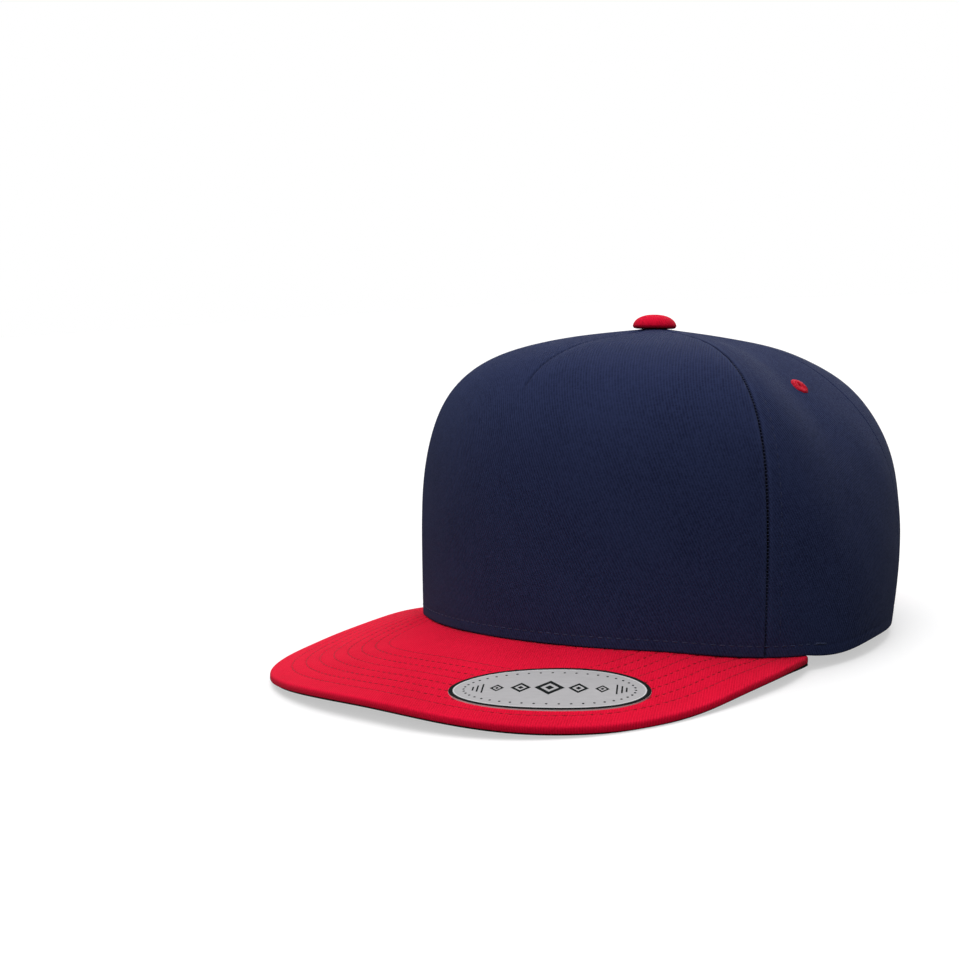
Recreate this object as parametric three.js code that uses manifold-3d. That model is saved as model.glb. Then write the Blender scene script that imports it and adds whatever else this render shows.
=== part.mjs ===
// A five-panel snapback cap, resting on its visor corners and the back of its rim.
// Millimetres, +Z up, visor towards -Y, the wearer's left towards +X.
import * as THREE from "three";
import { mergeVertices } from "three/addons/utils/BufferGeometryUtils.js";
import Module from "manifold-3d";

const wasm = await Module();
wasm.setup();

// Crown. Azimuth runs from 0 at the front through 90 at the wearer's left to 180 at the back.
const crownHalfWidth = 97.2;
const crownFront = 88.2;
const crownBack = 96.4;
const crownHeight = 114.8;
const planSquareness = 1.92;
const peakShare = 0.097; // share of the height that rises as a straight cone
const wallThickness = 1.6;
const seamGap = 0.3; // between neighbouring pieces that are sewn or laid together

const rimDip = { depth: 3.9, ahead: 16, run: 22.7 }; // how the rim sags at the sides, near the visor's ends

// How the wall runs up in each direction: squareness of the shoulder, and how far it swells at half height
// and at the top, as shares of the base radius. Reach is the cosine of the azimuth from which it holds fully.
const meridians = {
  front: { squareness: 4.3, belly: 0.003, flare: 0.025, reach: 0.573 },
  side: { squareness: 2.79, belly: 0.017, flare: -0.009 },
  back: { squareness: 3.9, belly: 0.055, flare: 0.05, reach: 1.055 },
};

const frontSeamAzimuth = 63.7;
const sideSeamAzimuth = 115;
const dartDepth = 0.8;
const dartWidth = 4.5;
const dartStart = 0.5; // rise at which the dart begins, 0 at the rim and 1 at the top centre
const dartRun = 0.15; // rise over which it reaches its depth

// Visor
const visorLength = 67.8;
const visorFlare = -0.5; // how far each side stands past the crown's half width
const visorWidestAt = 53.8; // forward of the crown's centre
const visorStartsAt = 26.2; // forward of the crown's centre
const visorSideBend = 0.51; // where the side's curve turns straight, as a share of the way to its widest
const visorSquareness = 2.68;
const visorDroop = 10.16; // degrees
const visorArch = 10.8;
const visorArchRun = 45.4;
const visorThickness = 2.2;
const underClothThickness = 1;
const underClothInset = 0.6;

// Sweatband
const bandHeight = 30;
const bandThickness = 1.2;
const bandLift = 0.6; // its lower edge above the crown's rim at the sides and back
const bandPast = 2; // how far its ends show past the edges of the back opening

// Back opening and snap strap. Arc runs round the back from the centre, positive to the wearer's left.
const archHalfWidth = 50.5;
const archCornerHeight = 26.7;
const archRise = 28.3;
const strapHeight = 19;
const strapLift = 1.8;
const strapThickness = 1.3;
const strapTuck = 8; // length hidden behind the edge of each back panel
const strapShiftRun = 30; // length over which the outer strap steps out over the inner one
const snapCount = 7;
const snapPitch = 8.9;
const firstSnapArc = 44.5;
const engagedSnaps = 3;
const holeRadius = 1.75;
const pegClearance = 0.3;
const pegHeadOverhang = 0.5;
const pegHeadHeight = 1;
const pegHeadShoulder = { out: 0.75, up: 0.7 }; // where the head turns from its side to its top
const strapTipShare = 0.12; // half height at the very end, as a share of the strap's
const strapEndPast = 6.6; // from the last hole to the rounded end
const innerEndPast = 4.8; // from the last engaged peg to the inner strap's end

// Button and eyelets
const buttonRadius = 8.75;
const buttonHeight = 5.6;
const shankRadius = 2.4;
const shankFlangeRadius = 4.2;
const shankFlangeThickness = 0.8;
const eyeletRadius = 3.75;
const eyeletHoleRadius = 1.3;
const eyeletStemRadius = 2.3;
const eyeletThreadHeight = 0.7;
const eyelets = {
  side: { azimuth: 93, rise: 0.571 },
  back: { azimuth: 154.2, rise: 0.507 },
};

// Sticker, on the left half of the visor
const stickerLength = 67.4;
const stickerWidth = 34.9;
const stickerThickness = 0.5;
const stickerInFromSide = 46.7; // from its centre to the visor's side
const stickerAhead = 28.6; // from the front of the crown's rim
const stickerTurn = 37.1; // degrees

const restPress = 0.35; // cloth pressed flat where the cap rests

// Fineness of the faceted surfaces
const columnStep = 5.7; // degrees of azimuth
const crownRows = 16;
const rowCrowding = 0.35; // closer rows at the shoulder
const archSegments = 20;
const visorColumns = 28;
const visorRows = 5;
const visorSideSegments = 12;
const visorNoseSegments = 60;
const strapColumns = 20;
const stickerColumns = 22;
const stickerEndAngle = 84; // degrees, where its narrow ends are cut
const roundSides = 12;
const tipSearch = 0.3; // radians either way in which the cap's rest is sought

const degree = Math.PI / 180;
const probe = 0.001;

function mix(a, b, share) {
  return a + (b - a) * share;
}

function smooth(share) {
  const s = Math.min(1, Math.max(0, share));
  return s * s * (3 - 2 * s);
}

function solve(value, low, high) {
  let a = low;
  let b = high;
  const rising = value(b) > value(a);
  for (let step = 0; step < 50; step += 1) {
    const middle = (a + b) / 2;
    if (value(middle) > 0 === rising) b = middle;
    else a = middle;
  }
  return (a + b) / 2;
}

// Height of the rim, and of the visor's upper face, over a point of the plan.
function rimHeight(x, y) {
  const ahead = Math.max(0, -visorStartsAt - y);
  const across = (x / crownHalfWidth) ** 2;
  const slope = Math.tan(visorDroop * degree) * ahead;
  const dip = rimDip.depth * Math.exp(-(((y + rimDip.ahead) / rimDip.run) ** 2));
  return visorArch * (1 - across) * smooth(ahead / visorArchRun) - slope - dip;
}

function baseRadius(azimuth) {
  const across = Math.abs(Math.sin(azimuth * degree)) / crownHalfWidth;
  const c = Math.cos(azimuth * degree);
  const along = Math.abs(c) / (c > 0 ? crownFront : crownBack);
  return (across ** planSquareness + along ** planSquareness) ** (-1 / planSquareness);
}

function meridianAt(azimuth) {
  const c = Math.cos(azimuth * degree);
  const end = c > 0 ? meridians.front : meridians.back;
  const share = smooth(Math.abs(c) / end.reach);
  return {
    squareness: mix(meridians.side.squareness, end.squareness, share),
    belly: mix(meridians.side.belly, end.belly, share),
    flare: mix(meridians.side.flare, end.flare, share),
  };
}

// The dart pulls a shallow furrow into the front panel, from its shoulder up to the button's edge.
function dartDent(x, radius, rise) {
  const nearButton = smooth((radius - shankFlangeRadius) / buttonRadius);
  return dartDepth * Math.exp(-((x / dartWidth) ** 2)) * smooth((rise - dartStart) / dartRun) * nearButton;
}

// A point of the crown's outer face. Rise runs from 0 at the rim to 1 at the top centre.
function crownPoint(azimuth, rise) {
  const { squareness, belly, flare } = meridianAt(azimuth);
  const c = Math.cos((rise * Math.PI) / 2);
  const s = Math.sin((rise * Math.PI) / 2);
  const reach = (c ** squareness + s ** squareness) ** (-1 / squareness);
  const out = reach * c;
  const up = (1 - peakShare) * reach * s + peakShare * (1 - out);
  const radius = baseRadius(azimuth) * out * (1 + belly * 4 * up * (1 - up) + flare * up);
  const x = radius * Math.sin(azimuth * degree);
  const y = -radius * Math.cos(azimuth * degree);
  const dart = y < 0 ? dartDent(x, radius, rise) : 0;
  const point = new THREE.Vector3(x, y, crownHeight * up + rimHeight(x, y) * (1 - up));
  point.y += dart * c;
  point.z -= dart * s;
  return point;
}

function crownNormal(azimuth, rise) {
  const round = crownPoint(azimuth + probe, rise).sub(crownPoint(azimuth - probe, rise));
  const upward = crownPoint(azimuth, rise + probe).sub(crownPoint(azimuth, Math.max(0, rise - probe)));
  return round.cross(upward).normalize();
}

// The point under the crown's outer face at a depth into the cap.
function underCrown(azimuth, rise, depth) {
  return crownPoint(azimuth, rise).addScaledVector(crownNormal(azimuth, rise), -depth);
}

// At the rim the wall is offset level, so that its lower edge follows the visor's face.
function rimPoint(azimuth, depth) {
  const normal = crownNormal(azimuth, 0);
  normal.z = 0;
  const point = crownPoint(azimuth, 0).addScaledVector(normal.normalize(), -depth);
  point.z = rimHeight(point.x, point.y);
  return point;
}

function riseAtHeight(height) {
  return Math.atan(height / (crownHeight * (1 - peakShare))) / (Math.PI / 2);
}

function geometryOf(points, index) {
  const geometry = new THREE.BufferGeometry();
  const numbers = points.flatMap((p) => p.toArray());
  geometry.setAttribute("position", new THREE.Float32BufferAttribute(numbers, 3));
  geometry.setIndex(index);
  return geometry;
}

// A closed solid from a geometry, with its faces turned outwards.
function solidOf(geometry) {
  const bare = geometry.clone();
  bare.deleteAttribute("normal");
  bare.deleteAttribute("uv");
  const merged = mergeVertices(bare, 1e-4);
  const triVerts = new Uint32Array(merged.index.array);
  const vertProperties = new Float32Array(merged.attributes.position.array);
  const solid = new wasm.Manifold(new wasm.Mesh({ numProp: 3, vertProperties, triVerts }));
  if (solid.volume() > 0) return solid;
  return new wasm.Manifold(new wasm.Mesh({ numProp: 3, vertProperties, triVerts: triVerts.reverse() }));
}

function geometryFrom(solid) {
  const { vertProperties, triVerts } = solid.getMesh();
  const geometry = new THREE.BufferGeometry();
  geometry.setAttribute("position", new THREE.BufferAttribute(vertProperties, 3));
  geometry.setIndex(new THREE.BufferAttribute(triVerts, 1));
  geometry.computeVertexNormals();
  return geometry;
}

// A solid sheet between two grids of points that match row by row.
function sheetBetween(upper, lower) {
  const rows = upper.length - 1;
  const columns = upper[0].length - 1;
  const stride = columns + 1;
  const below = stride * (rows + 1);
  const index = [];
  const quad = (a, b, c, d) => index.push(a, b, c, a, c, d);
  for (let row = 0; row < rows; row += 1) {
    for (let column = 0; column < columns; column += 1) {
      const at = row * stride + column;
      quad(at, at + 1, at + 1 + stride, at + stride);
      quad(below + at, below + at + stride, below + at + stride + 1, below + at + 1);
    }
  }
  for (let column = 0; column < columns; column += 1) {
    const last = rows * stride + column;
    quad(column + 1, column, below + column, below + column + 1);
    quad(last, last + 1, below + last + 1, below + last);
  }
  for (let row = 0; row < rows; row += 1) {
    const left = row * stride;
    const right = left + columns;
    quad(left, left + stride, below + left + stride, below + left);
    quad(right + stride, right, below + right, below + right + stride);
  }
  return solidOf(geometryOf([...upper.flat(), ...lower.flat()], index));
}

function steps(count) {
  return Array.from({ length: count + 1 }, (_, i) => i / count);
}

// A geometry whose own Y axis is turned along a direction and moved to a point.
function placed(geometry, point, direction) {
  const turn = new THREE.Quaternion().setFromUnitVectors(new THREE.Vector3(0, 1, 0), direction);
  return geometry.clone().applyQuaternion(turn).translate(point.x, point.y, point.z);
}

// Crown panels

const shankHoleRadius = shankRadius + seamGap;

function panelRise(share, azimuth) {
  const top = Math.acos(shankHoleRadius / baseRadius(azimuth)) / (Math.PI / 2);
  return top * (share + (rowCrowding * Math.sin(2 * Math.PI * share)) / (2 * Math.PI));
}

function innerWallPoint(share, azimuth) {
  if (share === 0) return rimPoint(azimuth, wallThickness);
  return underCrown(azimuth, panelRise(share, azimuth), wallThickness);
}

function crownPanel(from, to) {
  const columns = Math.ceil((to - from) / columnStep);
  const outer = [];
  const inner = [];
  for (const up of steps(crownRows)) {
    const edge = crownPoint(from, panelRise(up, from));
    const trim = Math.asin(seamGap / 2 / Math.hypot(edge.x, edge.y)) / degree;
    const azimuths = steps(columns).map((share) => mix(from + trim, to - trim, share));
    outer.push(azimuths.map((a) => crownPoint(a, panelRise(up, a))));
    inner.push(azimuths.map((a) => innerWallPoint(up, a)));
  }
  return sheetBetween(outer, inner);
}

// The back opening, cut straight through along Y.
function archCutter() {
  const arch = new THREE.Shape();
  const radius = (archHalfWidth ** 2 + archRise ** 2) / (2 * archRise);
  const centre = archCornerHeight + archRise - radius;
  const span = Math.asin(archHalfWidth / radius);
  arch.moveTo(archHalfWidth, -crownHeight);
  arch.lineTo(archHalfWidth, archCornerHeight);
  arch.absarc(0, centre, radius, Math.PI / 2 - span, Math.PI / 2 + span, false);
  arch.lineTo(-archHalfWidth, -crownHeight);
  const depth = 2 * crownBack;
  const options = { depth, bevelEnabled: false, curveSegments: archSegments };
  const cutter = new THREE.ExtrudeGeometry(arch, options);
  return solidOf(cutter.rotateX(Math.PI / 2).translate(0, depth, 0));
}

function eyeletAt({ azimuth, rise }, side) {
  return { point: crownPoint(side * azimuth, rise), normal: crownNormal(side * azimuth, rise) };
}

function eyeletCutter(place, side) {
  const { point, normal } = eyeletAt(place, side);
  const radius = eyeletStemRadius + seamGap;
  const drill = new THREE.CylinderGeometry(radius, radius, 6 * wallThickness, roundSides);
  return solidOf(placed(drill, point, normal));
}

// Stitched rings through the wall: a stem with a rim of thread outside and inside.
function eyelet(place, side) {
  const { point, normal } = eyeletAt(place, side);
  const inside = -wallThickness - seamGap;
  const outline = [
    [eyeletHoleRadius, inside - eyeletThreadHeight],
    [eyeletRadius, inside - eyeletThreadHeight / 2],
    [eyeletRadius, inside],
    [eyeletStemRadius, inside],
    [eyeletStemRadius, seamGap],
    [eyeletRadius, seamGap],
    [eyeletRadius - eyeletThreadHeight / 4, seamGap + eyeletThreadHeight / 2],
    [(eyeletRadius + eyeletHoleRadius) / 2, seamGap + eyeletThreadHeight],
    [eyeletHoleRadius, seamGap + eyeletThreadHeight / 2],
    [eyeletHoleRadius, inside - eyeletThreadHeight],
  ].map(([r, h]) => new THREE.Vector2(r, h));
  return solidOf(placed(new THREE.LatheGeometry(outline, roundSides), point, normal));
}

// Button: dome, shank through the crown and a flange inside
function crownButton() {
  const slope = (peakShare * crownHeight) / (crownBack * (1 + meridians.back.flare));
  const under = (radius) => seamGap - slope * radius;
  const inside = -wallThickness - seamGap - slope * shankRadius;
  const rim = under(buttonRadius);
  const dome = [
    { out: 0.94, up: 0 },
    { out: 1, up: 0.2 },
    { out: 0.97, up: 0.45 },
    { out: 0.84, up: 0.72 },
    { out: 0.58, up: 0.91 },
    { out: 0.3, up: 0.98 },
    { out: 0, up: 1 },
  ];
  const outline = [
    [0, inside - shankFlangeThickness],
    [shankFlangeRadius, inside - shankFlangeThickness],
    [shankFlangeRadius, inside - slope * (shankFlangeRadius - shankRadius)],
    [shankRadius, inside],
    [shankRadius, under(shankRadius)],
    ...dome.map(({ out, up }) => [out * buttonRadius, mix(rim, buttonHeight, up)]),
  ].map(([r, h]) => new THREE.Vector2(r, h));
  const top = new THREE.Vector3(0, 0, crownHeight);
  return solidOf(placed(new THREE.LatheGeometry(outline, roundSides + 8), top, new THREE.Vector3(0, 0, 1)));
}

// Visor

const visorEndAzimuth = solve((a) => visorStartsAt - baseRadius(a) * Math.cos(a * degree), 1, 90);

// Points at even distances along an open run of points.
function resampled(run, count) {
  const lengths = [0];
  for (let i = 1; i < run.length; i += 1) lengths.push(lengths[i - 1] + run[i].distanceTo(run[i - 1]));
  return steps(count).map((share) => {
    const wanted = share * lengths.at(-1);
    const next = Math.min(run.length - 1, Math.max(1, lengths.findIndex((l) => l >= wanted)));
    const part = (wanted - lengths[next - 1]) / (lengths[next] - lengths[next - 1]);
    return run[next - 1].clone().lerp(run[next], part);
  });
}

// The visor's outer edge in plan, from the wearer's left round the tip to the right.
function visorEdge(inset) {
  const halfWidth = crownHalfWidth + visorFlare - inset;
  const tip = crownFront + visorLength - inset;
  const start = new THREE.Vector2(rimPoint(visorEndAzimuth, 0).x, -visorStartsAt);
  const widest = new THREE.Vector2(halfWidth, -visorWidestAt);
  const bend = new THREE.Vector2(halfWidth, mix(-visorStartsAt, -visorWidestAt, visorSideBend));
  const side = new THREE.QuadraticBezierCurve(start, bend, widest).getPoints(visorSideSegments);
  const nose = steps(visorNoseSegments).map((share) => {
    const angle = (share * Math.PI) / 2;
    const power = 2 / visorSquareness;
    const forward = mix(visorWidestAt, tip, Math.sin(angle) ** power);
    return new THREE.Vector2(halfWidth * Math.abs(Math.cos(angle)) ** power, -forward);
  });
  const half = [...side, ...nose.slice(1)];
  const mirrored = half.slice(0, -1).reverse();
  return [...half, ...mirrored.map((p) => new THREE.Vector2(-p.x, p.y))];
}

function visorSheet(top, thickness, inset) {
  const edge = resampled(visorEdge(inset), visorColumns);
  const upper = steps(visorRows).map((out) =>
    edge.map((rim, column) => {
      const azimuth = mix(visorEndAzimuth, -visorEndAzimuth, column / visorColumns);
      const root = rimPoint(azimuth, wallThickness);
      const x = mix(root.x, rim.x, out);
      const y = mix(root.y, rim.y, out);
      return new THREE.Vector3(x, y, rimHeight(x, y) + top);
    }),
  );
  const lower = upper.map((row) => row.map((p) => p.clone().setZ(p.z - thickness)));
  return sheetBetween(upper, lower);
}

const visorTop = -seamGap;
const underClothTop = visorTop - visorThickness - seamGap;

// Snap strap and sweatband

// Azimuth at an arc round the back of the rim.
function azimuthAtArc(arc) {
  const count = 60;
  let azimuth = 180;
  for (let step = 0; step < count; step += 1) {
    const here = rimPoint(azimuth, 0);
    const turned = rimPoint(azimuth - 1, 0);
    azimuth -= arc / count / here.distanceTo(turned);
  }
  return azimuth;
}

const openingEdgeArc = solve((arc) => rimPoint(azimuthAtArc(arc), 0).x - archHalfWidth, 0, crownHalfWidth);
const tuckedDepth = wallThickness + seamGap;
const overDepth = tuckedDepth - seamGap - strapThickness;

function strapMiddle(arc, depth) {
  const rise = riseAtHeight(strapLift + strapHeight / 2);
  const azimuth = azimuthAtArc(arc);
  return { point: underCrown(azimuth, rise, depth), normal: crownNormal(azimuth, rise) };
}

// A strap from one arc to another. Depth and half height are functions of the arc.
function strap(fromArc, toArc, depthAt, halfHeightAt) {
  const faces = [0, strapThickness].map((extra) =>
    [-1, -0.5, 0, 0.5, 1].map((level) =>
      steps(strapColumns).map((share) => {
        const eased = Math.sin((share * Math.PI) / 2);
        const arc = mix(fromArc, toArc, eased);
        const height = strapLift + strapHeight / 2 + level * halfHeightAt(arc);
        return underCrown(azimuthAtArc(arc), riseAtHeight(height), depthAt(arc) + extra);
      }),
    ),
  );
  return sheetBetween(faces[0], faces[1]);
}

const snapArcs = Array.from({ length: snapCount }, (_, i) => firstSnapArc - i * snapPitch);
const firstEngagedArc = snapArcs[snapCount - engagedSnaps];
const pegArcs = Array.from({ length: snapCount }, (_, i) => firstEngagedArc - i * snapPitch);
const strapTuckArc = openingEdgeArc + strapTuck;
const outerStrapEnd = snapArcs.at(-1) - strapEndPast;

function overlapDepth(arc) {
  return mix(tuckedDepth, overDepth, smooth((openingEdgeArc - arc) / strapShiftRun));
}

// Round end: the strap narrows on a circle of its own half height, and stops just short of the tip.
function roundEndHalfHeight(arc) {
  const radius = strapHeight / 2;
  const past = Math.max(0, outerStrapEnd + radius - arc);
  return Math.max(radius * strapTipShare, Math.sqrt(Math.max(0, radius ** 2 - past ** 2)));
}

function strapWithHoles() {
  let body = strap(strapTuckArc, outerStrapEnd, overlapDepth, roundEndHalfHeight);
  for (const arc of snapArcs) {
    const { point, normal } = strapMiddle(arc, overlapDepth(arc));
    const hole = new THREE.CylinderGeometry(holeRadius, holeRadius, 4 * strapThickness, roundSides);
    body = body.subtract(solidOf(placed(hole, point, normal)));
  }
  return body;
}

function strapWithPegs() {
  let body = strap(-strapTuckArc, firstEngagedArc + innerEndPast, () => tuckedDepth, () => strapHeight / 2);
  const stem = holeRadius - pegClearance;
  const head = stem + pegHeadOverhang;
  const neck = strapThickness + 2 * seamGap;
  const outline = [
    [0, -strapThickness / 2],
    [stem, -strapThickness / 2],
    [stem, neck],
    [head, neck],
    [head * pegHeadShoulder.out, neck + pegHeadHeight * pegHeadShoulder.up],
    [0, neck + pegHeadHeight],
  ].map(([r, h]) => new THREE.Vector2(r, h));
  for (const arc of pegArcs) {
    const { point, normal } = strapMiddle(arc, tuckedDepth);
    body = body.add(solidOf(placed(new THREE.LatheGeometry(outline, roundSides), point, normal)));
  }
  return body;
}

// The sweatband bends inwards near its ends to pass behind the tucked straps, and drops in front to cover
// the visor's inner edge.
function sweatband() {
  const endAzimuth = azimuthAtArc(openingEdgeArc - bandPast);
  const tuckAzimuth = azimuthAtArc(strapTuckArc + seamGap);
  const bendFrom = azimuthAtArc(strapTuckArc + strapTuck + strapTuck);
  const columns = Math.ceil((2 * endAzimuth) / columnStep);
  const visorStack = seamGap + visorThickness + seamGap + underClothThickness;
  const depthAt = (azimuth) => {
    const share = smooth((Math.abs(azimuth) - bendFrom) / (tuckAzimuth - bendFrom));
    return wallThickness + seamGap + share * (strapThickness + seamGap);
  };
  const dropAt = (azimuth) => {
    const share = smooth((visorEndAzimuth + 2 * columnStep - Math.abs(azimuth)) / (3 * columnStep));
    return mix(-bandLift, visorStack, share);
  };
  const faces = [0, bandThickness].map((extra) =>
    steps(3).map((up) =>
      steps(columns).map((share) => {
        const azimuth = mix(endAzimuth, -endAzimuth, share);
        const depth = depthAt(azimuth) + extra;
        if (up > 0) return underCrown(azimuth, riseAtHeight(up * bandHeight), depth);
        const low = rimPoint(azimuth, depth);
        low.z -= dropAt(azimuth);
        return low;
      }),
    ),
  );
  return sheetBetween(faces[0], faces[1]);
}

// Sticker, laid on the visor's curved face
function visorSticker() {
  const turn = stickerTurn * degree;
  const middle = { x: crownHalfWidth + visorFlare - stickerInFromSide, y: -crownFront - stickerAhead };
  const faces = [stickerThickness, 0].map((lift) =>
    [-1, -0.5, 0, 0.5, 1].map((level) =>
      steps(stickerColumns).map((share) => {
        const angle = mix(-stickerEndAngle, stickerEndAngle, share) * degree;
        const along = (stickerLength / 2) * Math.sin(angle);
        const across = level * (stickerWidth / 2) * Math.cos(angle);
        const x = middle.x + along * Math.cos(turn) - across * Math.sin(turn);
        const y = middle.y + along * Math.sin(turn) + across * Math.cos(turn);
        return new THREE.Vector3(x, y, rimHeight(x, y) + lift);
      }),
    ),
  );
  return sheetBetween(faces[0], faces[1]);
}

const opening = archCutter();
const pieces = {
  front_panel: crownPanel(-frontSeamAzimuth, frontSeamAzimuth),
  visor: visorSheet(visorTop, visorThickness, 0),
  under_visor: visorSheet(underClothTop, underClothThickness, underClothInset),
  sweatband: sweatband(),
  strap_with_holes: strapWithHoles(),
  strap_with_pegs: strapWithPegs(),
  crown_button: crownButton(),
  visor_sticker: visorSticker(),
};
for (const [name, side] of [["left", 1], ["right", -1]]) {
  const range = (a, b) => (side > 0 ? [a, b] : [-b, -a]);
  const sidePanel = crownPanel(...range(frontSeamAzimuth, sideSeamAzimuth));
  const backPanel = crownPanel(...range(sideSeamAzimuth, 180));
  pieces[`side_panel_${name}`] = sidePanel.subtract(eyeletCutter(eyelets.side, side));
  pieces[`back_panel_${name}`] = backPanel.subtract(opening).subtract(eyeletCutter(eyelets.back, side));
  pieces[`eyelet_side_${name}`] = eyelet(eyelets.side, side);
  pieces[`eyelet_back_${name}`] = eyelet(eyelets.back, side);
}

// Rest: the cap tips back until the visor's corners and the rim's back corners touch one level.
const corners = Object.values(pieces).flatMap((solid) => {
  const { vertProperties } = solid.getMesh();
  return Array.from({ length: vertProperties.length / 3 }, (_, i) => ({
    y: vertProperties[3 * i + 1],
    z: vertProperties[3 * i + 2],
  }));
});
const tipped = (p, tip) => p.z * Math.cos(tip) - p.y * Math.sin(tip);
const lowest = (part, tip) => part.reduce((low, p) => Math.min(low, tipped(p, tip)), Infinity);
const ahead = corners.filter((p) => p.y < 0);
const behind = corners.filter((p) => p.y >= 0);
const restTip = solve((tip) => lowest(ahead, tip) - lowest(behind, tip), -tipSearch, tipSearch);
const restLevel = lowest(corners, restTip) + restPress;

function floorBlock() {
  const size = 4 * (crownFront + crownBack);
  const block = new THREE.BoxGeometry(size, size, size).translate(0, 0, restLevel - size / 2);
  return solidOf(block.rotateX(restTip));
}

for (const name of ["under_visor", "back_panel_left", "back_panel_right"]) {
  pieces[name] = pieces[name].subtract(floorBlock());
}

const finishes = {
  navyTwill: { color: 0x1f2742, roughness: 0.9, metalness: 0 },
  redTwill: { color: 0xbe1030, roughness: 0.85, metalness: 0 },
  darkTwill: { color: 0x16201c, roughness: 0.9, metalness: 0 },
  bandCloth: { color: 0x101116, roughness: 0.9, metalness: 0 },
  strapPlastic: { color: 0xe11d2f, roughness: 0.35, metalness: 0 },
  redThread: { color: 0xcf1f38, roughness: 0.6, metalness: 0 },
  silverFoil: { color: 0xb2afb2, roughness: 0.35, metalness: 0.6 },
};
const finishOf = {
  visor: "redTwill",
  crown_button: "redTwill",
  under_visor: "darkTwill",
  sweatband: "bandCloth",
  strap_with_holes: "strapPlastic",
  strap_with_pegs: "strapPlastic",
  visor_sticker: "silverFoil",
};

function finishFor(name) {
  if (name.includes("panel")) return "navyTwill";
  if (name.startsWith("eyelet")) return "redThread";
  return finishOf[name];
}

const cap = new THREE.Group();
for (const [name, solid] of Object.entries(pieces)) {
  const material = new THREE.MeshStandardMaterial(finishes[finishFor(name)]);
  const mesh = new THREE.Mesh(geometryFrom(solid), material);
  mesh.name = name;
  cap.add(mesh);
}
cap.rotation.x = -restTip;
cap.updateMatrixWorld(true);

// The origin is under the middle of the cap's box, on the surface that it rests on.
const box = new THREE.Box3().setFromObject(cap, true);
cap.position.set(0, -(box.min.y + box.max.y) / 2, -box.min.z);

const snapbackCap = new THREE.Group();
snapbackCap.add(cap);

export default snapbackCap;
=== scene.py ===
import math

import bmesh
import bpy
import numpy as np
from mathutils import Matrix, Vector


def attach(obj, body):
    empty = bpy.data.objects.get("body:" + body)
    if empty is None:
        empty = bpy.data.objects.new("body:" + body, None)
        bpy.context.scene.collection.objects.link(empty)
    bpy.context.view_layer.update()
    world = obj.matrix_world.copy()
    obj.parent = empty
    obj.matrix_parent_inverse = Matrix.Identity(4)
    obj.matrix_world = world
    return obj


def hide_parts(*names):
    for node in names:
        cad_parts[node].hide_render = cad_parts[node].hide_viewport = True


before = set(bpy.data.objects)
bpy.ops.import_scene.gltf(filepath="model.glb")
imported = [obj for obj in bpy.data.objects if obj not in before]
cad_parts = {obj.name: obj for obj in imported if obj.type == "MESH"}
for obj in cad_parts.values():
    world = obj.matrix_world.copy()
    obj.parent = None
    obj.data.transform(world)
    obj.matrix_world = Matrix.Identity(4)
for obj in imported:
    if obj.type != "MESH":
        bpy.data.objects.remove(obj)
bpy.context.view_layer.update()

print("frame loaded:", len(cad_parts), "nodes")

# The cap's own shape in millimetres, worn way up: visor towards -Y, the wearer's left towards +X.
# Azimuth runs from 0 at the front through 90 at the left to 180 at the back, and rise from 0 at the
# rim to 1 on top.
cap = {
    "halfWidth": 97.2,
    "front": 88.2,
    "back": 96.4,
    "height": 114.8,
    "squareness": 1.92,
    "peakShare": 0.097,
    "wall": 1.6,
    "gap": 0.3,
    "frontSeam": 63.7,
    "sideSeam": 115.0,
    "dartDepth": 0.8,
    "dartWidth": 4.5,
    "dartStart": 0.49,
    "dartRun": 0.15,
    "dartEnd": 4.2,  # distance from the middle of the top where the dart has closed
    "levelRim": 0.03,  # rise below which the wall is cut level
    "dip": 3.9,  # the rim's dip beside the visor's ends
    "dipAhead": 16.0,
    "dipRun": 22.7,
    "softFront": 0.1,  # how far the cloth swells and sinks over the front
    "softBack": 0.34,
    "softLength": 34.0,
    "softFrom": 0.13,
    "softRun": 0.15,
    "softTop": 0.1,
    "softBefore": 12.0,  # degrees before the front seam where the swell begins to grow
    "softTurn": 60.0,
    "restTip": 5.0521854,  # degrees, how far the cap tips back on the floor
    "restShift": (0.0, 25.3833, 6.7775),
}
# squareness of the shoulder, swell at half height and flare at the top, as shares of the base radius
meridians = {
    "front": (4.3, 0.003, 0.025),
    "side": (2.79, 0.017, -0.009),
    "back": (3.9, 0.055, 0.05),
    "frontReach": 0.573,  # cosine of the azimuth from which the front's own shape holds
    "backReach": 1.055,
}
seeds = {"cloth": 11, "pucker": 5, "board": 3}


def mix(a, b, share):
    return a + (b - a) * share


def smooth(share):
    s = np.clip(share, 0, 1)
    return s * s * (3 - 2 * s)


def bump(distance, width):
    return np.exp(-((distance / width) ** 2))


def rimHeight(x, y):
    ahead = np.maximum(0, -visor["startsAt"] - y)
    across = (x / cap["halfWidth"]) ** 2
    arch = visor["arch"] * (1 - across) * smooth(ahead / visor["archRun"])
    dip = cap["dip"] * bump(y + cap["dipAhead"], cap["dipRun"])
    return arch - math.tan(math.radians(visor["droop"])) * ahead - dip


def baseRadius(azimuth):
    c = np.cos(np.radians(azimuth))
    across = np.abs(np.sin(np.radians(azimuth))) / cap["halfWidth"]
    along = np.abs(c) / np.where(c > 0, cap["front"], cap["back"])
    n = cap["squareness"]
    return (across**n + along**n) ** (-1 / n)


def meridianAt(azimuth):
    c = np.cos(np.radians(azimuth))
    share = smooth(np.abs(c) / np.where(c > 0, meridians["frontReach"], meridians["backReach"]))
    ends = zip(meridians["side"], meridians["front"], meridians["back"])
    return [mix(side, np.where(c > 0, front, back), share) for side, front, back in ends]


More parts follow.
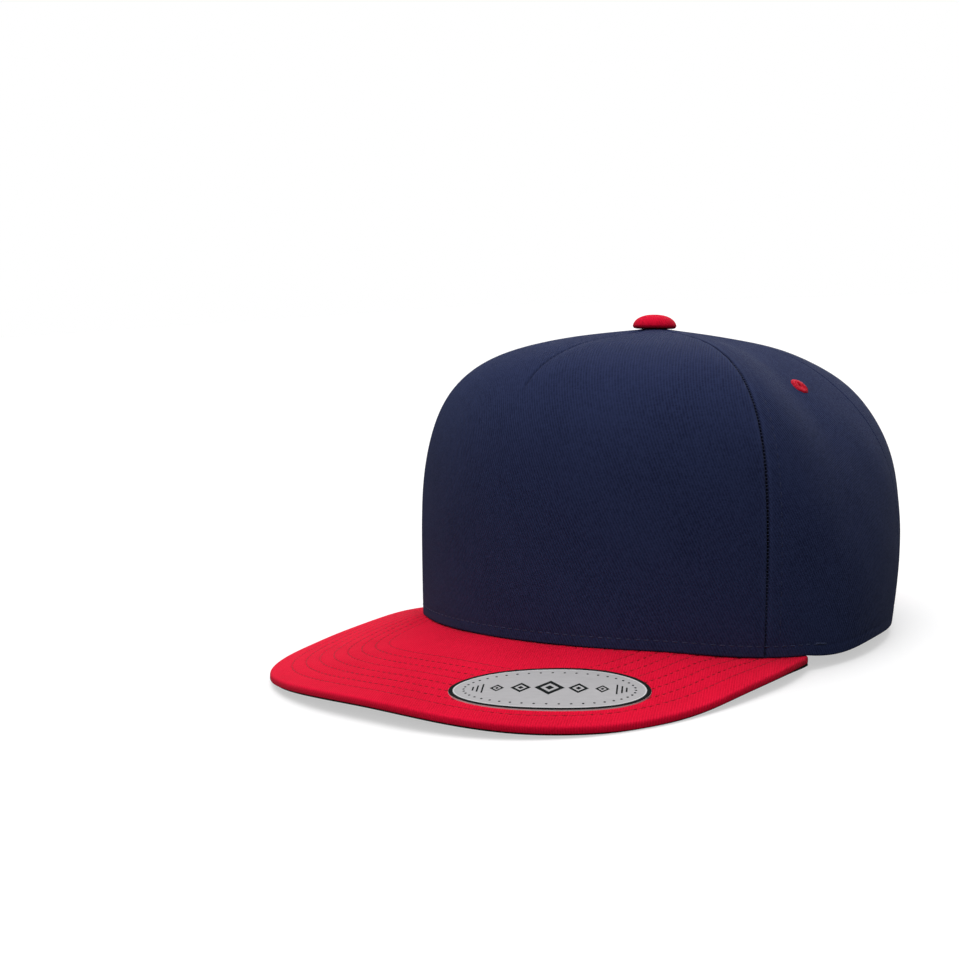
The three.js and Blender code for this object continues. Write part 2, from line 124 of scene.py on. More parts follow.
def crownPoint(azimuth, rise):
    squareness, belly, flare = meridianAt(azimuth)
    c = np.cos(rise * np.pi / 2)
    s = np.sin(rise * np.pi / 2)
    reach = (c**squareness + s**squareness) ** (-1 / squareness)
    out = reach * c
    up = (1 - cap["peakShare"]) * reach * s + cap["peakShare"] * (1 - out)
    radius = baseRadius(azimuth) * out * (1 + belly * 4 * up * (1 - up) + flare * up)
    x = radius * np.sin(np.radians(azimuth))
    y = -radius * np.cos(np.radians(azimuth))
    z = cap["height"] * up + rimHeight(x, y) * (1 - up)
    climbed = smooth((rise - cap["dartStart"]) / cap["dartRun"])
    dart = cap["dartDepth"] * bump(x, cap["dartWidth"]) * climbed
    dart = np.where(y < 0, dart * smooth((radius - cap["dartEnd"]) / button["radius"]), 0)
    return np.stack([x, y + dart * c, z - dart * s], -1)


def unit(vectors):
    return vectors / np.maximum(np.linalg.norm(vectors, axis=-1, keepdims=True), 1e-12)


def crownNormal(azimuth, rise):
    probe = 0.001
    turned = crownPoint(azimuth + probe, rise) - crownPoint(azimuth - probe, rise)
    climbed = crownPoint(azimuth, rise + probe) - crownPoint(azimuth, np.maximum(0, rise - probe))
    return unit(np.cross(turned, climbed))


# The wall at a depth into the cap; at the rim the offset is level, so that the rim follows the visor.
def wallPoint(azimuth, rise, depth):
    azimuth, rise, depth = np.broadcast_arrays(azimuth, rise, depth)
    outer = crownPoint(azimuth, rise)
    normal = crownNormal(azimuth, rise)
    level = 1 - smooth(rise / cap["levelRim"])
    normal[..., 2] *= 1 - level
    point = outer - unit(normal) * depth[..., None]
    fall = rimHeight(point[..., 0], point[..., 1]) - rimHeight(outer[..., 0], outer[..., 1])
    point[..., 2] += level * fall
    return point


# A soft random swell, about as high as 1, made of waves in several directions
def softWaves(points, length, seed, waves=7):
    draw = np.random.default_rng(seed)
    total = np.zeros(points.shape[:-1])
    for _ in range(waves):
        direction = unit(draw.normal(size=3))
        turns = 2 * np.pi / (length * draw.uniform(0.7, 1.6))
        total += np.sin(points @ direction * turns + draw.uniform(0, 2 * np.pi))
    return total / math.sqrt(waves)


# How far the cloth sinks below the crown's plain shape
def softDepth(azimuth, rise):
    point = crownPoint(azimuth, rise)
    away = smooth((np.abs(azimuth) - cap["frontSeam"] + cap["softBefore"]) / cap["softTurn"])
    amount = mix(cap["softFront"], cap["softBack"], away)
    amount = amount * smooth((rise - cap["softFrom"]) / cap["softRun"])
    return amount * smooth((1 - rise) / cap["softTop"]) * softWaves(point, cap["softLength"], seeds["cloth"])


# The crown's outer face as it is dressed, at a depth below it
def clothPoint(azimuth, rise, depth):
    return wallPoint(azimuth, rise, depth + softDepth(azimuth, rise))


def riseAtHeight(height):
    return np.arctan(height / (cap["height"] * (1 - cap["peakShare"]))) / (np.pi / 2)


def atRest(points):
    tip = math.radians(cap["restTip"])
    x, y, z = np.moveaxis(np.asarray(points, float), -1, 0)
    turned = np.stack([x, y * math.cos(tip) + z * math.sin(tip), z * math.cos(tip) - y * math.sin(tip)], -1)
    return (turned + cap["restShift"]) / 1000


# Points in a plane, with a third value of zero
def withZero(x, y):
    return np.stack([x, y, np.zeros(np.shape(x))], -1)


# Distance along a run of points, from its first one
def reachedAlong(points):
    steps = np.linalg.norm(np.diff(points, axis=0), axis=1)
    return np.concatenate([[0], np.cumsum(steps)])


def pointsAt(at, reached, points):
    return np.stack([np.interp(at, reached, points[:, k]) for k in range(points.shape[1])], -1)


# Meshes

def gridFaces(rows, columns):
    corner = np.arange(rows - 1)[:, None] * columns + np.arange(columns - 1)
    return np.stack([corner, corner + 1, corner + columns + 1, corner + columns], -1).reshape(-1, 4)


# Faces round a tube of closed rings
def tubeFaces(rings, sides):
    a = np.arange(rings - 1)[:, None] * sides + np.arange(sides)
    b = np.arange(rings - 1)[:, None] * sides + (np.arange(sides) + 1) % sides
    return np.stack([a, b, b + sides, a + sides], -1).reshape(-1, 4)


# Two matching grids, one under the other, closed into a shell round the cells that are kept
def shellFaces(rows, columns, kept=None):
    kept = np.ones((rows - 1, columns - 1), bool) if kept is None else kept
    under = rows * columns
    cells = gridFaces(rows, columns).reshape(rows - 1, columns - 1, 4)
    framed = np.pad(kept, 1)
    beside = [framed[:-2, 1:-1], framed[1:-1, 2:], framed[2:, 1:-1], framed[1:-1, :-2]]
    faces = [cells[kept], cells[kept][:, ::-1] + under]
    for side, neighbour in enumerate(beside):
        a, b = cells[..., side], cells[..., (side + 1) % 4]
        wall = np.stack([b, a, a + under, b + under], -1)
        faces.append(wall[kept & ~neighbour])
    return np.concatenate(faces)


def makeMesh(name, points, faces, attributes=None):
    faces = [faces] if isinstance(faces, np.ndarray) else faces
    mesh = bpy.data.meshes.new(name)
    corners = np.concatenate([f.ravel() for f in faces])
    sizes = np.concatenate([np.full(len(f), f.shape[1]) for f in faces])
    mesh.vertices.add(len(points))
    rested = atRest(points)
    rested[:, 2] = np.maximum(rested[:, 2], 0)  # pressed flat where it stands on the floor
    mesh.vertices.foreach_set("co", rested.astype(np.float32).ravel())
    mesh.loops.add(len(corners))
    mesh.loops.foreach_set("vertex_index", corners.astype(np.int32))
    mesh.polygons.add(len(sizes))
    mesh.polygons.foreach_set("loop_start", (np.cumsum(sizes) - sizes).astype(np.int32))
    mesh.update(calc_edges=True)
    for label, values in (attributes or {}).items():
        spot = mesh.attributes.new(label, "FLOAT_VECTOR", "POINT")
        spot.data.foreach_set("vector", np.asarray(values, np.float32).ravel())
    return mesh


def newObject(name, data):
    thing = bpy.data.objects.new(name, data)
    bpy.context.scene.collection.objects.link(thing)
    return thing


# Joins parts, each one given as points, groups of faces and the places of its points in the cloth
def joinParts(parts):
    points, faces, places, start = [], [], [], 0
    for partPoints, partFaces, place in parts:
        points.append(partPoints)
        faces.extend(group + start for group in partFaces)
        places.append(place)
        start += len(partPoints)
    return np.concatenate(points), faces, np.concatenate(places)


# Names a mesh as a piece of the cap: its finish and the nodes it stands for
def addPiece(mesh, finishes, replaced=(), creaseAngle=None, welded=False):
    piece = newObject(mesh.name, mesh)
    if welded:
        weld(mesh)
    for material in finishes if isinstance(finishes, list) else [finishes]:
        mesh.materials.append(material)
    mesh.shade_smooth()
    if creaseAngle:
        mesh.set_sharp_from_angle(angle=math.radians(creaseAngle))
    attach(piece, "root")
    if replaced:
        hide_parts(*replaced)
    print("piece made:", mesh.name, len(mesh.polygons), "faces")


def weld(mesh, distance=2e-6):
    work = bmesh.new()
    work.from_mesh(mesh)
    bmesh.ops.remove_doubles(work, verts=work.verts, dist=distance)
    bmesh.ops.dissolve_degenerate(work, edges=work.edges, dist=distance)
    work.to_mesh(mesh)
    work.free()


# Positions along a run: fixed stops near its ends, even steps between them
def stopsAlong(lengths, low, high, step, middle=()):
    lengths = np.atleast_1d(np.asarray(lengths, float))[:, None]
    fixed = max(low) + max(high) + 2 * max(middle, default=0) + 1
    squeeze = np.minimum(1, lengths / (2.6 * fixed))  # short runs draw the fixed stops together
    near = np.asarray(low) * squeeze
    far = lengths - np.asarray(high)[::-1] * squeeze
    parts = [near, far]
    if middle:
        offsets = np.concatenate([-np.asarray(middle)[::-1], middle])
        parts = [near, lengths / 2 + offsets * squeeze, far]
    knots = np.concatenate(parts, 1)
    longest = knots[np.argmax(lengths)]
    index = [0.0]
    for k in range(knots.shape[1] - 1):
        count = max(1, math.ceil((longest[k + 1] - longest[k]) / step))
        index.extend(k + (i + 1) / count for i in range(count))
    index = np.array(index)
    return np.stack([np.interp(index, np.arange(knots.shape[1]), row) for row in knots])


def roundedDepth(distance, radius):
    into = np.clip(radius - distance, 0, radius)
    return radius - np.sqrt(np.maximum(0, radius**2 - into**2))


# Crown panels

panel = {
    "step": 1.45,
    "rowStep": 1.5,
    "topRadius": 3.0,  # the panels end under the button
    "seamRound": 0.42,
    "faintRound": 0.6,  # share of the rounding that a faint seam keeps
    "hemRound": 0.72,
    "seamTrim": 0.05,
    "seamDip": 0.2,
    "seamDipWidth": 2.0,
    "seamGroove": 0.5,
    "seamGrooveWidth": 0.3,
    "seamFade": (6.0, 40.0, 0.45),  # heights between which the crease deepens, and its share below
    "seamShadeWidth": 0.4,  # reach of the painted shade in the crease along a seam
    "seamRidge": 0.16,  # the turned edges stand up beside the crease
    "seamRidgeAt": 1.25,
    "seamRidgeWidth": 0.6,
    "dartCrease": 0.6,
    "dartCreaseWidth": 0.45,
    "dartShade": 0.45,
    "sideBold": 0.1,  # the seam behind each side panel shows far less
    "pucker": 0.08,
    "puckerLength": 6.5,
    "puckerWidth": 3.2,
    "ridgeWear": 0.7,
    "hemWearAt": 0.3,
    "hemWear": 0.6,
    "allowance": 6.0,  # the seam's folded edges inside the cap
    "allowanceRise": 0.45,
    "allowanceStep": 0.9,
    "allowanceFrom": 34.0,
    "allowanceRun": 4.0,
    "topstitchGroove": 0.1,
    "topstitchWidth": 0.5,
    "rimRow": 4.0,
    "frontRow": 5.4,
    "backRow": 5.4,
    "archRow": 7.2,
}
visor = {
    "length": 67.8,
    "flare": -0.5,
    "widestAt": 53.8,
    "startsAt": 26.2,
    "sideBend": 0.51,
    "squareness": 2.68,
    "droop": 10.16,
    "arch": 10.8,
    "archRun": 45.4,
    "top": -0.12,
    "thickness": 2.55,
    "edgeRound": 0.95,
    "underTop": -2.72,
    "underThickness": 1.05,
    "underInset": 1.2,
    "backRound": 0.35,  # rounding of the board's lower edge
    "underEdgeRound": 0.5,
    "underBackRound": 0.3,
    "ripple": 0.12,
    "rippleLength": 42,
    "wearAt": 0.45,
    "wearWidth": 0.5,
    "columnStep": 0.8,
    "rowsFromEdge": (8.0, 13.1, 18.2, 23.3, 28.4, 33.5, 38.6, 43.7),
    "edgeStops": (0, 0.12, 0.3, 0.6, 0.95, 1.5, 2.5, 4.0, 5.8),
    "rowStops": (-0.95, -0.5, -0.2, 0.2, 0.5, 0.95, 2.5),
    "rowGroove": 0.3,
    "rowGrooveWidth": 0.75,
    "rowEnd": 0.4,  # the rows stop this far before the crown
    "stitch": 2.35,
    "stitchGap": 0.6,
    "threadStands": 0.16,  # height of the thread's middle above its furrow
    "thread": {"length": 2.3, "gap": 0.65, "width": 0.46, "height": 0.3, "lift": 0.0, "sink": 0.3,
               "sides": 5},
}
button = {"radius": 8.75, "height": 5.1, "low": -0.75, "shank": 2.3, "gathers": 22, "gatherDepth": 0.09}
arch = {"halfWidth": 50.5, "corner": 26.7, "rise": 28.3}
edgeStops = (0, 0.07, 0.22, 0.45, 0.75, 1.2, 1.9, 2.9)
rowStops = (-0.7, -0.3, 0, 0.3, 0.7)


# Azimuth and rise of the crown's point with a given x and height, on the back
def surfaceAt(x, z):
    rise = riseAtHeight(z)
    azimuth = 180 - np.degrees(np.arcsin(x / cap["back"]))
    for _ in range(25):
        point = crownPoint(azimuth, rise)
        radius = np.hypot(point[..., 0], point[..., 1])
        azimuth = 180 - np.degrees(np.arcsin(np.clip(x / radius, -1, 1)))
        rise = np.where(z > 0, rise * z / np.maximum(point[..., 2], 1e-6), 0)
    return azimuth, rise


# The opening's arch from its corner to the centre, at a distance outside it
def archRun(distance, count, share=1.0):
    radius = (arch["halfWidth"] ** 2 + arch["rise"] ** 2) / (2 * arch["rise"])
    angle = np.linspace(math.asin(arch["halfWidth"] / radius) * share, 0, count)
    x = (radius + distance) * np.sin(angle)
    z = arch["corner"] + arch["rise"] - radius + (radius + distance) * np.cos(angle)
    return x, z


# Up the side of the opening and along its arch
def openingEdge(sideCount=40, archCount=240):
    x, z = archRun(0, archCount)
    x = np.concatenate([np.full(sideCount, arch["halfWidth"]), x])
    z = np.concatenate([np.linspace(0, arch["corner"], sideCount, endpoint=False), z])
    return surfaceAt(x, z)


# A path as azimuth and rise at shares of its length
def alongPath(azimuth, rise, shares):
    reached = reachedAlong(crownPoint(azimuth, rise))
    wanted = shares * reached[-1]
    return np.interp(wanted, reached, azimuth), np.interp(wanted, reached, rise)


# Lower edge of a panel: along the rim, and on a back panel up the opening
def panelLowerEdge(low, high, opened):
    if not opened:
        return np.linspace(low, high, 300), np.zeros(300)
    edgeAzimuth, edgeRise = openingEdge()
    rim = np.linspace(low, edgeAzimuth[0], 120)[:-1]
    return np.concatenate([rim, edgeAzimuth]), np.concatenate([np.zeros(len(rim)), edgeRise])


def stopsWithRow(rows):
    stops = list(edgeStops)
    for row in rows:
        stops.extend(row + s for s in rowStops)
    return tuple(stops)


# A panel as a grid of azimuth and rise, with each point's distance from the panel's edges
def panelGrid(low, high, lowRows, sideRows, opened=False, middle=()):
    edge = panelLowerEdge(low, high, opened)
    shares = np.linspace(0, 1, 500)
    lowAzimuth, lowRise = alongPath(*edge, shares)
    topAzimuth = mix(low, high, shares)
    topRise = np.arccos(panel["topRadius"] / baseRadius(topAzimuth)) / (np.pi / 2)

    def pointsOf(share, way):
        a = mix(np.interp(share, shares, lowAzimuth), np.interp(share, shares, topAzimuth), way)
        r = mix(np.interp(share, shares, lowRise), np.interp(share, shares, topRise), way)
        return a, r

    probe = 0.01
    climbed = crownPoint(*pointsOf(shares, probe)) - crownPoint(*pointsOf(shares, 0))
    speed = np.linalg.norm(climbed, axis=1) / probe
    up = stopsAlong(speed, stopsWithRow(lowRows), (0,), panel["rowStep"]) / speed[:, None]
    curves = []
    for way in up.T:
        a, r = pointsOf(shares, way)
        reached = reachedAlong(crownPoint(a, r))
        curves.append((reached, np.stack([a, r, way * speed], 1)))
    lengths = [reached[-1] for reached, curve in curves]
    across = stopsAlong(lengths, stopsWithRow(sideRows[0]), stopsWithRow(sideRows[1]), panel["step"], middle)
    grid = []
    for at, (reached, curve) in zip(across, curves):
        grid.append(np.column_stack([pointsAt(at, reached, curve), at, reached[-1] - at]))
    return np.moveaxis(np.array(grid), -1, 0)


# Where each point lies on the flat cloth that the panel was cut from
def clothCoordinates(azimuth, rise, middle):
    a = np.linspace(azimuth.min(), azimuth.max(), 90)
    r = np.linspace(0, 1, 120)
    points = crownPoint(a[None, :], r[:, None])
    along = np.cumsum(np.linalg.norm(np.diff(points, axis=0, prepend=points[:1]), axis=2), axis=0)
    across = np.cumsum(np.linalg.norm(np.diff(points, axis=1, prepend=points[:, :1]), axis=2), axis=1)
    across -= np.array([np.interp(middle, a, row) for row in across])[:, None]
    i = np.clip(rise * (len(r) - 1), 0, len(r) - 1.001)
    j = np.clip((azimuth - a[0]) / (a[-1] - a[0]) * (len(a) - 1), 0, len(a) - 1.001)
    i0, j0 = i.astype(int), j.astype(int)
    fi, fj = i - i0, j - j0

    def sample(table):
        low = mix(table[i0, j0], table[i0, j0 + 1], fj)
        high = mix(table[i0 + 1, j0], table[i0 + 1, j0 + 1], fj)
        return mix(low, high, fi)

    return withZero(sample(across), sample(along))


# The sewn shape: rolled hem, rounded seam edges, the crease and pucker along seams, topstitch furrows.
# Each point also carries the painted shade in a crease and the wear of a raised edge.
def panelMesh(name, low, high, lowRows, sideRows, side=1, bold=(1, 1), opened=False, middle=(), holes=()):
    trim = np.degrees(panel["seamTrim"] / cap["halfWidth"])
    grid = panelGrid(low + trim, high - trim, lowRows, sideRows, opened, middle)
    azimuth, rise, fromEdge, lowSide, highSide = grid
    if side < 0:
        azimuth, rise, fromEdge = -azimuth[:, ::-1], rise[:, ::-1], fromEdge[:, ::-1]
        lowSide, highSide = highSide[:, ::-1], lowSide[:, ::-1]
        sideRows = sideRows[::-1]
        bold = bold[::-1]
    seam = np.minimum(lowSide, highSide)
    plain = crownPoint(azimuth, rise)
    fadeLow, fadeHigh, faded = panel["seamFade"]
    depth = mix(faded, 1, smooth((plain[..., 2] - fadeLow) / (fadeHigh - fadeLow)))
    depth = depth * np.where(lowSide < highSide, *bold)
    pucker = softWaves(plain, panel["puckerLength"], seeds["pucker"])
    pucker = pucker * bump(seam, panel["puckerWidth"]) * panel["pucker"]
    folded = (panel["seamDip"] * bump(seam, panel["seamDipWidth"])
              + panel["seamGroove"] * bump(seam, panel["seamGrooveWidth"])
              - panel["seamRidge"] * bump(seam - panel["seamRidgeAt"], panel["seamRidgeWidth"]))
    rounded = roundedDepth(seam, panel["seamRound"]) * mix(panel["faintRound"], 1, depth)
    outer = rounded + (folded + pucker) * depth
    outer = np.maximum(outer, roundedDepth(fromEdge, panel["hemRound"]))
    # painted shade: the colour darkens in the seam's crease, where shade falls
    shade = depth * bump(seam, panel["seamShadeWidth"])
    for distance, rows in ((fromEdge, lowRows), (lowSide, sideRows[0]), (highSide, sideRows[1])):
        for row in rows:
            outer = outer + panel["topstitchGroove"] * bump(distance - row, panel["topstitchWidth"])
    if middle:
        crease = bump(plain[..., 0], panel["dartCreaseWidth"])
        crease = crease * smooth((rise - cap["dartStart"] + 0.01) / 0.05)
        crease = np.where(plain[..., 1] < 0, crease, 0)
        outer = outer + panel["dartCrease"] * crease
        # painted shade along the dart's crease
        shade = np.maximum(shade, panel["dartShade"] * crease)
    inner = cap["wall"] - roundedDepth(fromEdge, panel["hemRound"])
    lapped = smooth((panel["allowance"] - seam) / panel["allowanceStep"])
    lapped = lapped * smooth((plain[..., 2] - panel["allowanceFrom"]) / panel["allowanceRun"])
    inner = inner + panel["allowanceRise"] * lapped * smooth(fromEdge / panel["allowanceRun"])
    points = np.concatenate([clothPoint(azimuth, rise, d).reshape(-1, 3) for d in (outer, inner)])
    kept = np.ones((azimuth.shape[0] - 1, azimuth.shape[1] - 1), bool)
    centres = (plain[:-1, :-1] + plain[1:, 1:]) / 2
    for hole in holes:
        middlePoint = crownPoint(np.array(side * hole["azimuth"]), np.array(hole["rise"]))
        kept &= np.linalg.norm(centres - middlePoint, axis=2) > eyelet["cut"]
    weave = clothCoordinates(azimuth, rise, side * (low + high) / 2)
    raised = np.maximum(depth * bump(seam - panel["seamRidgeAt"], panel["ridgeWear"]),
                        bump(fromEdge - panel["hemWearAt"], panel["hemWear"]))
    weaveShadeAndWear = {"weaveAt": [weave, weave], "shadeAndWearAt": [withZero(shade, raised)] * 2}
    return makeMesh(name, points, shellFaces(*azimuth.shape, kept), weaveShadeAndWear)


# Threads: each one a tapered tube laid along a short run of points

def threadTubes(paths, normals, widths, heights, sides=6):
    count, stations = paths.shape[:2]
    along = unit(np.gradient(paths, axis=1))
    across = unit(np.cross(along, normals))
    angle = np.linspace(0, 2 * np.pi, sides, endpoint=False)
    ring = (across[:, :, None] * np.cos(angle)[:, None] * widths[..., None, None]
            + normals[:, :, None] * np.sin(angle)[:, None] * heights[..., None, None])
    points = (paths[:, :, None] + ring).reshape(-1, 3)
    start = np.arange(count)[:, None] * stations * sides
    walls = (tubeFaces(stations, sides) + start[..., None]).reshape(-1, 4)
    ends = [start + np.arange(sides)[::-1], start + (stations - 1) * sides + np.arange(sides)]
    steps = np.linalg.norm(np.diff(paths, axis=1, prepend=paths[:, :1]), axis=2).cumsum(1)
    number = np.arange(count, dtype=float)[:, None, None]
    place = np.stack(np.broadcast_arrays(steps[..., None], angle, number), -1)
    return points, [walls, *ends], place.reshape(-1, 3)


# Stitches at even steps along a run of points on a surface
def stitchesAlong(points, normals, look):
    reached = reachedAlong(points)
    pitch = look["length"] + look["gap"]
    count = int(reached[-1] // pitch)
    if count < 1:
        return None
    middles = (np.arange(count) + 0.5) * reached[-1] / count
    stations = np.array([-1, -0.72, -0.3, 0.3, 0.72, 1])
    at = middles[:, None] + stations * look["length"] / 2
    paths = pointsAt(at, reached, points)
    up = unit(pointsAt(at, reached, normals))
    full = np.sqrt(np.maximum(0, 1 - stations**2)) ** 0.6
    widths = np.broadcast_to(look["width"] / 2 * mix(0.35, 1, full), at.shape)
    heights = np.broadcast_to(look["height"] / 2 * mix(0.4, 1, full), at.shape)
    paths = paths + up * (look["lift"] * full - look["sink"] * (1 - full))[:, None]
    return threadTubes(paths, up, widths, heights, look.get("sides", 6))


def threadMesh(name, parts):
    points, faces, places = joinParts([part for part in parts if part is not None])
    return makeMesh(name, points, faces, {"threadAt": places})


# Materials

def addNode(tree, kind, inputs=None, **settings):
    node = tree.nodes.new(kind)
    for label, value in settings.items():
        setattr(node, label, value)
    for label, value in (inputs or {}).items():
        socket = node.inputs[label]
        if isinstance(value, bpy.types.NodeSocket):
            tree.links.new(value, socket)
        else:
            socket.default_value = value
    return node


def math2(tree, operation, a, b=0.0, c=None):
    inputs = {0: a, 1: b}
    if c is not None:
        inputs[2] = c
    return addNode(tree, "ShaderNodeMath", inputs, operation=operation).outputs[0]


def vectorMath(tree, operation, a, b, output="Vector"):
    return addNode(tree, "ShaderNodeVectorMath", {0: a, 1: b}, operation=operation).outputs[output]


def mixColour(tree, share, a, b):
    return addNode(tree, "ShaderNodeMix", {0: share, 6: a, 7: b}, data_type="RGBA").outputs[2]


def mapRange(tree, value, fromLow, fromHigh, toLow, toHigh):
    inputs = {"Value": value, "From Min": fromLow, "From Max": fromHigh, "To Min": toLow, "To Max": toHigh}
    return addNode(tree, "ShaderNodeMapRange", inputs).outputs[0]


def placeOf(tree, label):
    return addNode(tree, "ShaderNodeAttribute", attribute_name=label).outputs["Vector"]


def noiseOf(tree, at, scale, detail, roughness=0.5, output="Fac"):
    inputs = {"Vector": at, "Scale": scale, "Detail": detail, "Roughness": roughness}
    return addNode(tree, "ShaderNodeTexNoise", inputs).outputs[output]


def scaleVector(tree, vector, share):
    return addNode(tree, "ShaderNodeVectorMath", {0: vector, 3: share}, operation="SCALE").outputs[0]


# A colour, a roughness and a relief on a material's shader
def dress(tree, shader, colour, rough, height, distance, strength):
    tree.links.new(colour, shader.inputs["Base Color"])
    tree.links.new(rough, shader.inputs["Roughness"])
    lift = addNode(tree, "ShaderNodeBump", {"Height": height, "Distance": distance, "Strength": strength})
    tree.links.new(lift.outputs[0], shader.inputs["Normal"])


def newGroup(name, inputs, outputs):
    tree = bpy.data.node_groups.new(name, "ShaderNodeTree")
    for label, kind, value in inputs:
        socket = tree.interface.new_socket(label, in_out="INPUT", socket_type=kind)
        if value is not None:
            socket.default_value = value
    for label, kind in outputs:
        tree.interface.new_socket(label, in_out="OUTPUT", socket_type=kind)
    return tree, addNode(tree, "NodeGroupInput").outputs, addNode(tree, "NodeGroupOutput").inputs


# Twill: slanted ribs of short floats, each yarn a little lighter or darker than its neighbours
def makeTwillGroup():
    tree, given, out = newGroup(
        "twillWeave",
        [("At", "NodeSocketVector", None), ("Across", "NodeSocketVector", (0.89, 0.45, 0)),
         ("Along", "NodeSocketVector", (0.45, -0.89, 0)), ("Pitch", "NodeSocketFloat", 0.9),
         ("Wander", "NodeSocketFloat", 0.14)],
        [("Height", "NodeSocketFloat"), ("Yarn", "NodeSocketFloat")],
    )
    noise = noiseOf(tree, given["At"], 0.35, 3.0, output="Color")
    centred = vectorMath(tree, "SUBTRACT", noise, (0.5, 0.5, 0.5))
    spot = vectorMath(tree, "ADD", given["At"], scaleVector(tree, centred, given["Wander"]))

    def turnsAlong(direction):
        reach = vectorMath(tree, "DOT_PRODUCT", spot, given[direction], "Value")
        return math2(tree, "DIVIDE", reach, given["Pitch"])

    phase = turnsAlong("Across")
    wave = math2(tree, "COSINE", math2(tree, "MULTIPLY", phase, 2 * math.pi))
    rib = math2(tree, "MULTIPLY_ADD", wave, 0.5, 0.5)
    ribNumber = math2(tree, "FLOOR", phase)
    stagger = math2(tree, "MULTIPLY", ribNumber, 0.37)
    yarnPhase = math2(tree, "MULTIPLY_ADD", turnsAlong("Along"), 1.7, stagger)
    yarn = math2(tree, "ABSOLUTE", math2(tree, "SINE", math2(tree, "MULTIPLY", yarnPhase, math.pi)))
    pair = addNode(tree, "ShaderNodeCombineXYZ", {"X": ribNumber, "Y": math2(tree, "FLOOR", yarnPhase)})
    tone = addNode(tree, "ShaderNodeTexWhiteNoise", {"Vector": pair.outputs[0]}, noise_dimensions="2D")
    tree.links.new(math2(tree, "MULTIPLY", rib, mapRange(tree, yarn, 0, 1, 0.62, 1)), out["Height"])
    tree.links.new(tone.outputs["Value"], out["Yarn"])
    return tree


# Slow tone changes, lint and rub marks that every cloth of the cap shows
def makeHandledGroup():
    tree, given, out = newGroup(
        "handledCloth",
        [("At", "NodeSocketVector", None), ("Size", "NodeSocketFloat", 30.0),
         ("Lint", "NodeSocketFloat", 0.5)],
        [("Tone", "NodeSocketFloat"), ("Lint", "NodeSocketFloat"), ("Nap", "NodeSocketFloat")],
    )
    scaled = scaleVector(tree, given["At"], math2(tree, "DIVIDE", 1.0, given["Size"]))
    lint = mapRange(tree, noiseOf(tree, given["At"], 1.7, 1.0), 0.66, 0.8, 0.0, 1.0)
    tree.links.new(noiseOf(tree, scaled, 1.0, 4.0, 0.6), out["Tone"])
    tree.links.new(math2(tree, "MULTIPLY", lint, given["Lint"]), out["Lint"])
    tree.links.new(noiseOf(tree, given["At"], 5.0, 3.0), out["Nap"])
    return tree


# Plied thread: a slanted twist round each stitch
def makeThreadGroup():
    tree, given, out = newGroup(
        "pliedThread",
        [("At", "NodeSocketVector", None), ("Twist", "NodeSocketFloat", 0.55)],
        [("Ply", "NodeSocketFloat"), ("Tone", "NodeSocketFloat")],
    )
    parts = addNode(tree, "ShaderNodeSeparateXYZ", {0: given["At"]}).outputs
    turn = math2(tree, "MULTIPLY", math2(tree, "DIVIDE", parts[0], given["Twist"]), 2 * math.pi)
    ply = math2(tree, "SINE", math2(tree, "MULTIPLY_ADD", parts[1], 2.0, turn))
    tone = addNode(tree, "ShaderNodeTexWhiteNoise", {"W": parts[2]}, noise_dimensions="1D")
    tree.links.new(math2(tree, "MULTIPLY_ADD", ply, 0.5, 0.5), out["Ply"])
    tree.links.new(tone.outputs["Value"], out["Tone"])
    return tree


groups = {"twill": makeTwillGroup(), "handled": makeHandledGroup(), "thread": makeThreadGroup()}


def newMaterial(name, fixed):
    material = bpy.data.materials.new(name)
    material.use_nodes = True
    tree = material.node_tree
    shader = next(n for n in tree.nodes if n.type == "BSDF_PRINCIPLED")
    for label, value in fixed.items():
        shader.inputs[label].default_value = value
    return material, tree, shader


def useGroup(tree, kind, inputs):
    return addNode(tree, "ShaderNodeGroup", inputs, node_tree=groups[kind]).outputs


def twillMaterial(name, look):
    material, tree, shader = newMaterial(name, {
        "Sheen Weight": look["sheen"],
        "Sheen Roughness": 0.45,
        "Sheen Tint": look["sheenTint"],
        "Specular IOR Level": look["gloss"],
    })
    at = placeOf(tree, "weaveAt")
    slant = math.radians(look["slant"])
    weave = useGroup(tree, "twill", {
        "At": at,
        "Across": (math.sin(slant), math.cos(slant), 0),
        "Along": (math.cos(slant), -math.sin(slant), 0),
        "Pitch": look["pitch"],
        "Wander": look["wander"],
    })
    handled = useGroup(tree, "handled", {"At": at, "Size": look["toneSize"], "Lint": look["lint"]})
    colour = mixColour(tree, weave["Height"], look["deep"], look["base"])
    yarns = mapRange(tree, weave["Yarn"], 0, 1, 0, look["yarnShare"])
    colour = mixColour(tree, yarns, colour, look["light"])
    worn = mapRange(tree, handled["Tone"], 0.35, 0.7, 0, look["toneShare"])
    colour = mixColour(tree, worn, colour, look["worn"])
    colour = mixColour(tree, handled["Lint"], colour, look["light"])
    shadeAndWear = addNode(tree, "ShaderNodeSeparateXYZ", {0: placeOf(tree, "shadeAndWearAt")}).outputs
    patches = mapRange(tree, handled["Tone"], 0.3, 0.65, 0.1, look["rubShare"])
    colour = mixColour(tree, math2(tree, "MULTIPLY", shadeAndWear["Y"], patches), colour, look["light"])
    # painted shade: darkens the colour in seam creases, the dart and the visor's needle holes
    colour = mixColour(tree, shadeAndWear["X"], colour, look["crease"])
    rough = mapRange(tree, handled["Nap"], 0.3, 0.7, look["roughness"] - 0.07, look["roughness"] + 0.07)
    relief = math2(tree, "MULTIPLY_ADD", handled["Nap"], look["nap"], weave["Height"])
    dress(tree, shader, colour, rough, relief, look["relief"], 0.9)
    return material


